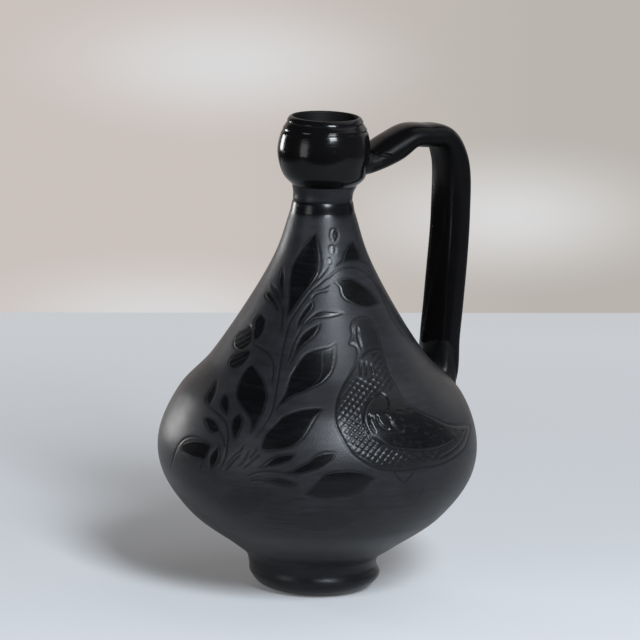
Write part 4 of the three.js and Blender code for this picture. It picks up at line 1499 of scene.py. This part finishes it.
class Strap:
    """The pulled strap as a surface over length along its middle line and angle round its section."""

    def __init__(self, sizes):
        bulb = bulb_outline(sizes, OUTLINE_STEP)
        self.neck = np.vstack((collar_outline(sizes, OUTLINE_STEP), bulb))
        self.body = body_outline(sizes, OUTLINE_STEP)
        bulb_face = np.interp(UPPER_ROOT_HEIGHT, bulb[:, 1], bulb[:, 0])
        shoulder_face = handle_root(sizes)[0]
        end_share = STRAP_LINE[-1][2]
        line = smooth_path((
            (bulb_face - ROOT_DEPTH, UPPER_ROOT_HEIGHT - UPPER_DIP, ROOT_SHARE),
            (bulb_face, UPPER_ROOT_HEIGHT, ROOT_SHARE),
            *STRAP_LINE,
            (shoulder_face, LOWER_ROOT_HEIGHT, end_share),
            (shoulder_face - LOWER_SLANT, LOWER_ROOT_HEIGHT - ROOT_DEPTH, end_share),
        ), STRAP_STEPS)
        self.middle, self.shares = line[:, :2], line[:, 2]
        self.run = run_lengths(self.middle)
        self.total = self.run[-1]
        self.root, self.crest, self.grip, self.flare = (
            self.run[STRAP_STEPS * number]
            for number in (ROOT_STATION, CREST_STATION, GRIP_STATION, FLARE_STATION)
        )
        self.along = unit(np.gradient(self.middle, self.run, axis=0))
        self.sizes = sizes

    def surface(self, lengths, angles):
        """Points of the strap's skin; lengths and angles have the same shape."""
        sizes = self.sizes
        x, z = (np.interp(lengths, self.run, axis) for axis in self.middle.T)
        tangent_x, tangent_z = (np.interp(lengths, self.run, axis) for axis in self.along.T)
        thickness = millimetres(sizes.grip_thickness) * np.interp(lengths, self.run, self.shares)
        thickness = thickness + pulled_waves(lengths, THICKNESS_WAVES)
        gripped = smoothstep(lengths, self.crest, self.grip)
        arch_width = millimetres(sizes.strap_width)
        width = arch_width + (millimetres(sizes.grip_width) - arch_width) * gripped
        width = width + millimetres(sizes.strap_flare) * smoothstep(lengths, self.grip, self.flare)
        half_width = width / 2 + pulled_waves(lengths, WIDTH_WAVES)
        cosine, sine = np.cos(angles), np.sin(angles)
        bend = 2 / (ARCH_POWER + (GRIP_POWER - ARCH_POWER) * gripped)
        across = half_width * np.sign(cosine) * np.abs(cosine) ** bend
        out = thickness / 2 * np.sign(sine) * np.abs(sine) ** bend
        channel = np.clip(1 - (across / (half_width * CHANNEL_SHARE)) ** 2, 0, 1) ** CHANNEL_POWER
        out = out - np.where(sine > 0, millimetres(sizes.channel_depth) * channel, 0)
        crease = self.root + CREASE_START + CREASE_RUN * crease_share(angles)
        bite = CREASE_DEPTH * bell(lengths, crease, CREASE_WIDTH)
        bite = bite * (1 - smoothstep(from_top(angles), *CREASE_FADE))
        across, out = across - bite * cosine, out - bite * sine
        upright, aslant = np.cos(GRIP_TWIST * gripped), np.sin(GRIP_TWIST * gripped)
        across, out = across * upright + out * aslant, out * upright - across * aslant
        return np.stack((x - tangent_z * out, across, z + tangent_x * out), axis=-1)

    def wall_length(self, angles, depth, upper):
        """Length at which each line of the strap's skin lies so deep in the bulb's or the body's wall."""
        ends = (0, self.crest) if upper else (self.total, self.grip)
        lengths = np.linspace(*ends, SEARCH_STEPS)
        grid = self.surface(*np.meshgrid(lengths, angles, indexing="ij"))
        outside = wall_gap(grid, self.neck if upper else self.body) > -depth
        return lengths[outside.argmax(0)]


def strap_piece(strap, colours):
    """The pulled strap, closed inside the walls at both ends, with the values that its finish reads."""
    angles = middles(SECTION_COLUMNS)
    start, end = (strap.wall_length(angles, BEDDED, upper) for upper in (True, False))
    lengths = start + (end - start) * np.linspace(0, 1, STRAP_ROWS)[:, None]
    grid = strap.surface(lengths, np.repeat(angles[None], STRAP_ROWS, 0))
    points = np.vstack((grid.reshape(-1, 3), grid[0].mean(0), grid[-1].mean(0)))
    last = STRAP_ROWS * SECTION_COLUMNS
    rows = np.arange(last).reshape(STRAP_ROWS, SECTION_COLUMNS)
    faces, _ = stitch([np.array([last]), *rows, np.array([last + 1])])
    pulled = shared_material(
        "burnished_pulled_clay", burnished_clay, colours, "run", STRAP_STREAKS, *STRAP_ROUGHNESS, STRAP_IOR
    )
    piece = mesh_piece("pulled_handle_strap", points, faces, (pulled,), sharp_angle=60)
    run = np.zeros((len(points), 3))
    run[:last, 0] = np.tile(angles, STRAP_ROWS) * millimetres(strap.sizes.strap_width) / 2 * MM
    run[:last, 1] = lengths.ravel() * MM
    write_layer(piece, "run", run, "FLOAT_VECTOR", "vector")
    past = smoothstep(lengths, *(strap.crest + POLISH_RUN))
    under = smoothstep(from_top(angles), *POLISHED_UNDER)
    over = 1 - smoothstep(from_top(angles), *POLISHED_OVER)
    polish = np.zeros(len(points))
    polish[:last] = (under * past + over * (1 - past)).ravel()
    write_layer(piece, "polish", polish)
    return piece


# Faces round the clay at the strap's ends and from strap to wall, and how far its edge is sunk in the wall
LUTING_COLUMNS = 112
FILLET_STEPS = 14
SUNK = 0.06
# How far the clay is spread on the bulb and on the shoulder, and how proud its pressed edge stands
UPPER_SPREAD, LOWER_SPREAD = 2, 4
UPPER_EDGE, LOWER_EDGE = 0.1, 0.05
# Where the pressed edge lies and how wide it is, as shares of the way from the strap to the wall
PRESSED_AT, PRESSED_WIDTH = 0.14, 0.09
# Unevenness of the smeared clay: how many waves go round, how strong they are and their shift
SMEARED_WAVES = ((2, 0.10, 0.7), (5, 0.07, 2))
# Share of its length and spread that the upper clay keeps on the strap's top
LEAST_CLAY = 0.1
# Finger dents round the clay: their depth, count and shift
DENT_DEPTH, DENT_COUNT, DENT_SHIFT = 0.12, 7, 1
# How far past the clay's end its hidden side starts, and how far in towards the strap's middle it lies
HIDDEN_RUN, HIDDEN_SHARE = 0.5, 0.2


def wall_normals(points, wall):
    """Outward normals of a turned wall at points on it."""
    heights = points[:, 2]
    level = points[:, :2] - sway(heights)
    around = np.arctan2(level[:, 1], level[:, 0])
    slope = np.interp(heights, wall[:, 1], np.gradient(wall[:, 0], wall[:, 1]))
    return unit(np.column_stack((np.cos(around), np.sin(around), -slope)))


def laid_on(points, wall, depth):
    """Points moved level so that they lie so deep in a turned wall."""
    heights = points[:, 2].clip(wall[0, 1], wall[-1, 1])
    centre = sway(heights)
    radius = np.interp(heights, wall[:, 1], wall[:, 0]) - depth
    return np.column_stack((centre + unit(points[:, :2] - centre) * radius[:, None], heights))


def luting(name, strap, upper, reach, spread, edge, material):
    """A closed ring of clay smeared from the strap's end on to the wall that it is pressed on."""
    angles = middles(LUTING_COLUMNS)
    uneven = 1 + sum(far * np.sin(count * angles + shift) for count, far, shift in SMEARED_WAVES)
    if upper:
        uneven = uneven * (LEAST_CLAY + (1 - LEAST_CLAY) * crease_share(angles))
    wall = strap.neck if upper else strap.body
    way = 1 if upper else -1
    corner_length = strap.wall_length(angles, 0.0, upper)
    high_length = corner_length + way * reach * uneven
    corner = strap.surface(corner_length, angles)
    high = strap.surface(high_length, angles)
    skin = strap.surface(high_length + way * HIDDEN_RUN, angles)
    normal = wall_normals(corner, wall)
    outward = corner - corner.mean(0)
    outward = unit(outward - np.einsum("ij,ij->i", outward, normal)[:, None] * normal)
    low = laid_on(corner + outward * (spread * uneven)[:, None], wall, SUNK)
    share = np.linspace(0, 1, FILLET_STEPS)[:, None, None]
    fillet = (1 - share) ** 2 * high + 2 * share * (1 - share) * corner + share ** 2 * low
    pressed = edge * bell(share, PRESSED_AT, PRESSED_WIDTH)
    fingers = DENT_DEPTH * (1 + np.sin(DENT_COUNT * angles + DENT_SHIFT))
    dents = fingers[None, :, None] * np.sin(math.pi * share)
    fillet = fillet + (pressed + dents) * outward[None]
    bedded = corner - normal * BEDDED - outward * BEDDED
    hidden = skin - (skin - skin.mean(0)) * HIDDEN_SHARE
    points = np.vstack((fillet.reshape(-1, 3), bedded, hidden))
    rows = list(np.arange(len(points)).reshape(-1, LUTING_COLUMNS))
    faces, _ = stitch(rows if upper else rows[::-1], ring=True)
    return mesh_piece(name, points, faces, (material,), sharp_angle=60)


class JUG_OT_build_handle(bpy.types.Operator):
    """Build the pulled strap and the clay that joins its ends to the jug"""

    bl_idname = "jug.build_handle"
    bl_label = "Build handle"

    def execute(self, context):
        sizes, colours = context.scene.jug_sizes, context.scene.jug_colours
        strap = Strap(sizes)
        seat(strap_piece(strap, colours), "burnished_black", "handle_strap")
        smeared = shared_material(
            "burnished_smeared_clay", burnished_clay, colours, "Object", SMEARED_STREAKS, *SMEARED_ROUGHNESS
        )
        reach = millimetres(sizes.upper_luting)
        upper = luting("upper_luting_clay", strap, True, reach, UPPER_SPREAD, UPPER_EDGE, smeared)
        seat(upper, "burnished_black", "upper_handle_luting")
        reach = millimetres(sizes.lower_luting)
        lower = luting("lower_luting_clay", strap, False, reach, LOWER_SPREAD, LOWER_EDGE, smeared)
        seat(lower, "burnished_black", "lower_handle_luting")
        return {"FINISHED"}


# Lamps: name, power property, colour, degrees to the camera's right, degrees up, and then the distance,
# the width and the height in millimetres
LAMPS = (
    ("key_softbox", "key_power", "#edf6ff", 24, 36, 1700, 460, 680),
    ("top_softbox", "top_power", "#ffffff", 118, 62, 1700, 1400, 1400),
    ("side_softbox", "side_power", "#ffffff", -129, 4.5, 1900, 480, 430),
    ("strip_light", "strip_power", "#ffffff", -51, 7, 1500, 480, 720),
    ("back_softbox", "back_power", "#ffffff", 132, 16, 1500, 800, 700),
)
LAMP_AIM = Vector((0, 0, 0.15))
# How much farther away the table's back edge lies for each step to the right
BACK_SKEW = 0.128
# Pale patches of light on the backdrop: middle, and reach across and up, in pixels of the photograph
WALL_GLOWS_PX = (((225, 64), (240, 85)), ((505, 216), (220, 85)), ((160, 318), (260, 75)))
# How far the camera sees, in metres
CAMERA_REACH = 20


def studio_place(turn, height, distance):
    """A place in the studio, so many degrees to the camera's right and above the table, in metres."""
    angle = math.radians(turn)
    level = -LEVEL_AWAY * math.cos(angle) + LEVEL_RIGHT * math.sin(angle)
    rise = math.radians(height)
    return Vector(distance * (math.cos(rise) * level + math.sin(rise) * UPRIGHT) * MM)


def lay_table(stage, colours):
    """Lay the table that the jug stands on."""
    back, front = millimetres(stage.table_back), -millimetres(stage.table_front)
    left, right = -millimetres(stage.table_left), millimetres(stage.table_right)
    far_corners = ((across, back + BACK_SKEW * across) for across in (right, left))
    corners = ((left, front), (right, front), *far_corners)
    points = np.array([LEVEL_RIGHT * across + LEVEL_AWAY * away for across, away in corners])
    table = mesh_piece("table", points, [np.array([[0, 1, 2, 3]])], (painted_table(colours),))
    table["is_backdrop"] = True


def hang_lamps(scene):
    """Hang the studio's lamps, all aimed at the jug's middle."""
    for name, power, code, turn, height, distance, width, tall in LAMPS:
        data = bpy.data.lights.new(name, "AREA")
        data.shape = "RECTANGLE"
        data.size, data.size_y = width * MM, tall * MM
        data.energy = getattr(scene.jug_stage, power)
        data.color = linear(code)[:3]
        lamp = bpy.data.objects.new(name, data)
        lamp.location = studio_place(turn, height, distance) + LAMP_AIM
        lamp.rotation_euler = (LAMP_AIM - lamp.location).to_track_quat("-Z", "Y").to_euler()
        scene.collection.objects.link(lamp)


def studio_world(colours):
    """The studio round the jug: a pale backdrop behind it, a dim wall at its right, and darkness."""
    world = bpy.data.worlds.new("studio")
    world.use_nodes = True
    tree = world.node_tree
    tree.nodes.clear()
    toward = add_node(tree, "ShaderNodeTexCoord").outputs["Generated"]
    rise = add_node(tree, "ShaderNodeSeparateXYZ", {"Vector": toward}).outputs["Z"]
    behind, beside, across, up = (
        add_node(tree, "ShaderNodeVectorMath", {
            0: toward, 1: tuple(way),
        }, operation="DOT_PRODUCT").outputs["Value"]
        for way in (LEVEL_AWAY, LEVEL_RIGHT, CAMERA_RIGHT, CAMERA_UP)
    )
    # The backdrop stands behind the jug, grows wider with its height and ends above
    low = add_node(tree, "ShaderNodeMapRange", {
        "Value": rise, "From Min": 0.75, "From Max": 0.5,
    }, interpolation_type="SMOOTHSTEP").outputs["Result"]
    widening = add_node(tree, "ShaderNodeMath", {
        0: rise, 1: 0.35, 2: behind,
    }, operation="MULTIPLY_ADD").outputs[0]
    back = add_node(tree, "ShaderNodeMapRange", {
        "Value": widening, "From Min": 0.75, "From Max": 0.93,
    }, interpolation_type="SMOOTHSTEP").outputs["Result"]
    backdrop = add_node(tree, "ShaderNodeMath", {0: low, 1: back}, operation="MULTIPLY").outputs[0]
    # Its cloth is dimmer at the right, and light falls on it in patches
    dim = add_node(tree, "ShaderNodeMapRange", {
        "Value": across, "From Min": -0.03, "From Max": 0.06,
    }).outputs["Result"]
    cloth = add_node(tree, "ShaderNodeMix", {
        "Factor": dim, MIX_A: colours.wall[:], MIX_B: colours.wall_dim[:],
    }, data_type="RGBA").outputs[MIX_RESULT]
    sight = add_node(tree, "ShaderNodeCombineXYZ", {"X": across, "Y": up}).outputs["Vector"]
    for (column, row), (wide, tall) in WALL_GLOWS_PX:
        middle = ((column - FRAME_PX / 2) / FOCAL_PX, (FRAME_PX / 2 - row) / FOCAL_PX, 0)
        offset = add_node(tree, "ShaderNodeVectorMath", {
            0: sight, 1: middle,
        }, operation="SUBTRACT").outputs[0]
        share = add_node(tree, "ShaderNodeVectorMath", {
            0: offset, 1: (FOCAL_PX / wide, FOCAL_PX / tall, 0),
        }, operation="MULTIPLY").outputs[0]
        reach = add_node(tree, "ShaderNodeVectorMath", {0: share}, operation="LENGTH").outputs["Value"]
        lit = add_node(tree, "ShaderNodeMapRange", {
            "Value": reach, "From Min": 1.0, "From Max": 0.0,
        }, interpolation_type="SMOOTHSTEP").outputs["Result"]
        cloth = add_node(tree, "ShaderNodeMix", {
            "Factor": lit, MIX_A: cloth, MIX_B: colours.wall_pale[:],
        }, data_type="RGBA").outputs[MIX_RESULT]
    # The side wall fades into the unlit studio
    side = add_node(tree, "ShaderNodeMapRange", {
        "Value": beside, "From Min": 0.45, "From Max": 0.8,
    }, interpolation_type="SMOOTHSTEP").outputs["Result"]
    room = add_node(tree, "ShaderNodeMix", {
        "Factor": side, MIX_A: colours.dark_studio[:], MIX_B: colours.side_wall[:],
    }, data_type="RGBA").outputs[MIX_RESULT]
    shade = add_node(tree, "ShaderNodeMix", {
        "Factor": backdrop, MIX_A: room, MIX_B: cloth,
    }, data_type="RGBA").outputs[MIX_RESULT]
    glow = add_node(tree, "ShaderNodeBackground", {"Color": shade})
    add_node(tree, "ShaderNodeOutputWorld", {"Surface": glow.outputs["Background"]})
    return world


def photo_camera(scene):
    """A camera where the photograph's stood."""
    data = bpy.data.cameras.new("camera")
    data.sensor_width = SENSOR_MM
    data.lens = FOCAL_PX * SENSOR_MM / FRAME_PX
    data.clip_end = CAMERA_REACH
    camera = bpy.data.objects.new("camera", data)
    turned = Matrix((CAMERA_RIGHT, CAMERA_UP, -CAMERA_AWAY)).transposed().to_4x4()
    camera.matrix_world = Matrix.Translation(Vector(CAMERA_PLACE * MM)) @ turned
    scene.collection.objects.link(camera)
    return camera


class JUG_OT_build_stage(bpy.types.Operator):
    """Build the table, the studio light and the camera"""

    bl_idname = "jug.build_stage"
    bl_label = "Build stage"

    def execute(self, context):
        scene = context.scene
        lay_table(scene.jug_stage, scene.jug_colours)
        hang_lamps(scene)
        scene.world = studio_world(scene.jug_colours)
        scene.camera = photo_camera(scene)
        scene.view_settings.view_transform = "Standard"
        return {"FINISHED"}


class JUG_PT_panel(bpy.types.Panel):
    """Sizes, colours and build steps of the jug"""

    bl_idname = "JUG_PT_panel"
    bl_label = "Carved Black Jug"
    bl_space_type = "VIEW_3D"
    bl_region_type = "UI"
    bl_category = "Jug"

    def draw(self, context):
        layout = self.layout
        for operator in OPERATORS:
            layout.operator(operator.bl_idname)
        for group in (context.scene.jug_sizes, context.scene.jug_colours, context.scene.jug_stage):
            column = layout.column(align=True)
            for name in group.bl_rna.properties.keys():
                if name not in ("rna_type", "name"):
                    column.prop(group, name)


OPERATORS = (
    JUG_OT_build_stage,
    JUG_OT_build_foot,
    JUG_OT_build_body,
    JUG_OT_build_neck,
    JUG_OT_build_mouth,
    JUG_OT_build_handle,
)
GROUPS = {"jug_sizes": JugSizes, "jug_colours": JugColours, "jug_stage": JugStage}


def register():
    for each in (*GROUPS.values(), *OPERATORS, JUG_PT_panel):
        bpy.utils.register_class(each)
    for name, group in GROUPS.items():
        setattr(bpy.types.Scene, name, PointerProperty(type=group))


def unregister():
    for name in GROUPS:
        delattr(bpy.types.Scene, name)
    for each in reversed((*GROUPS.values(), *OPERATORS, JUG_PT_panel)):
        bpy.utils.unregister_class(each)


def main():
    """Build the jug and its stage."""
    register()
    bpy.ops.jug.build_stage()
    bpy.ops.jug.build_foot()
    bpy.ops.jug.build_body()
    bpy.ops.jug.build_neck()
    bpy.ops.jug.build_mouth()
    bpy.ops.jug.build_handle()
    boxes = {"cad": CAD_BOX, "visual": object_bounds()}
    {name: [list(corner) for corner in box] for name, box in boxes.items()}


if __name__ == "__main__":
    main()
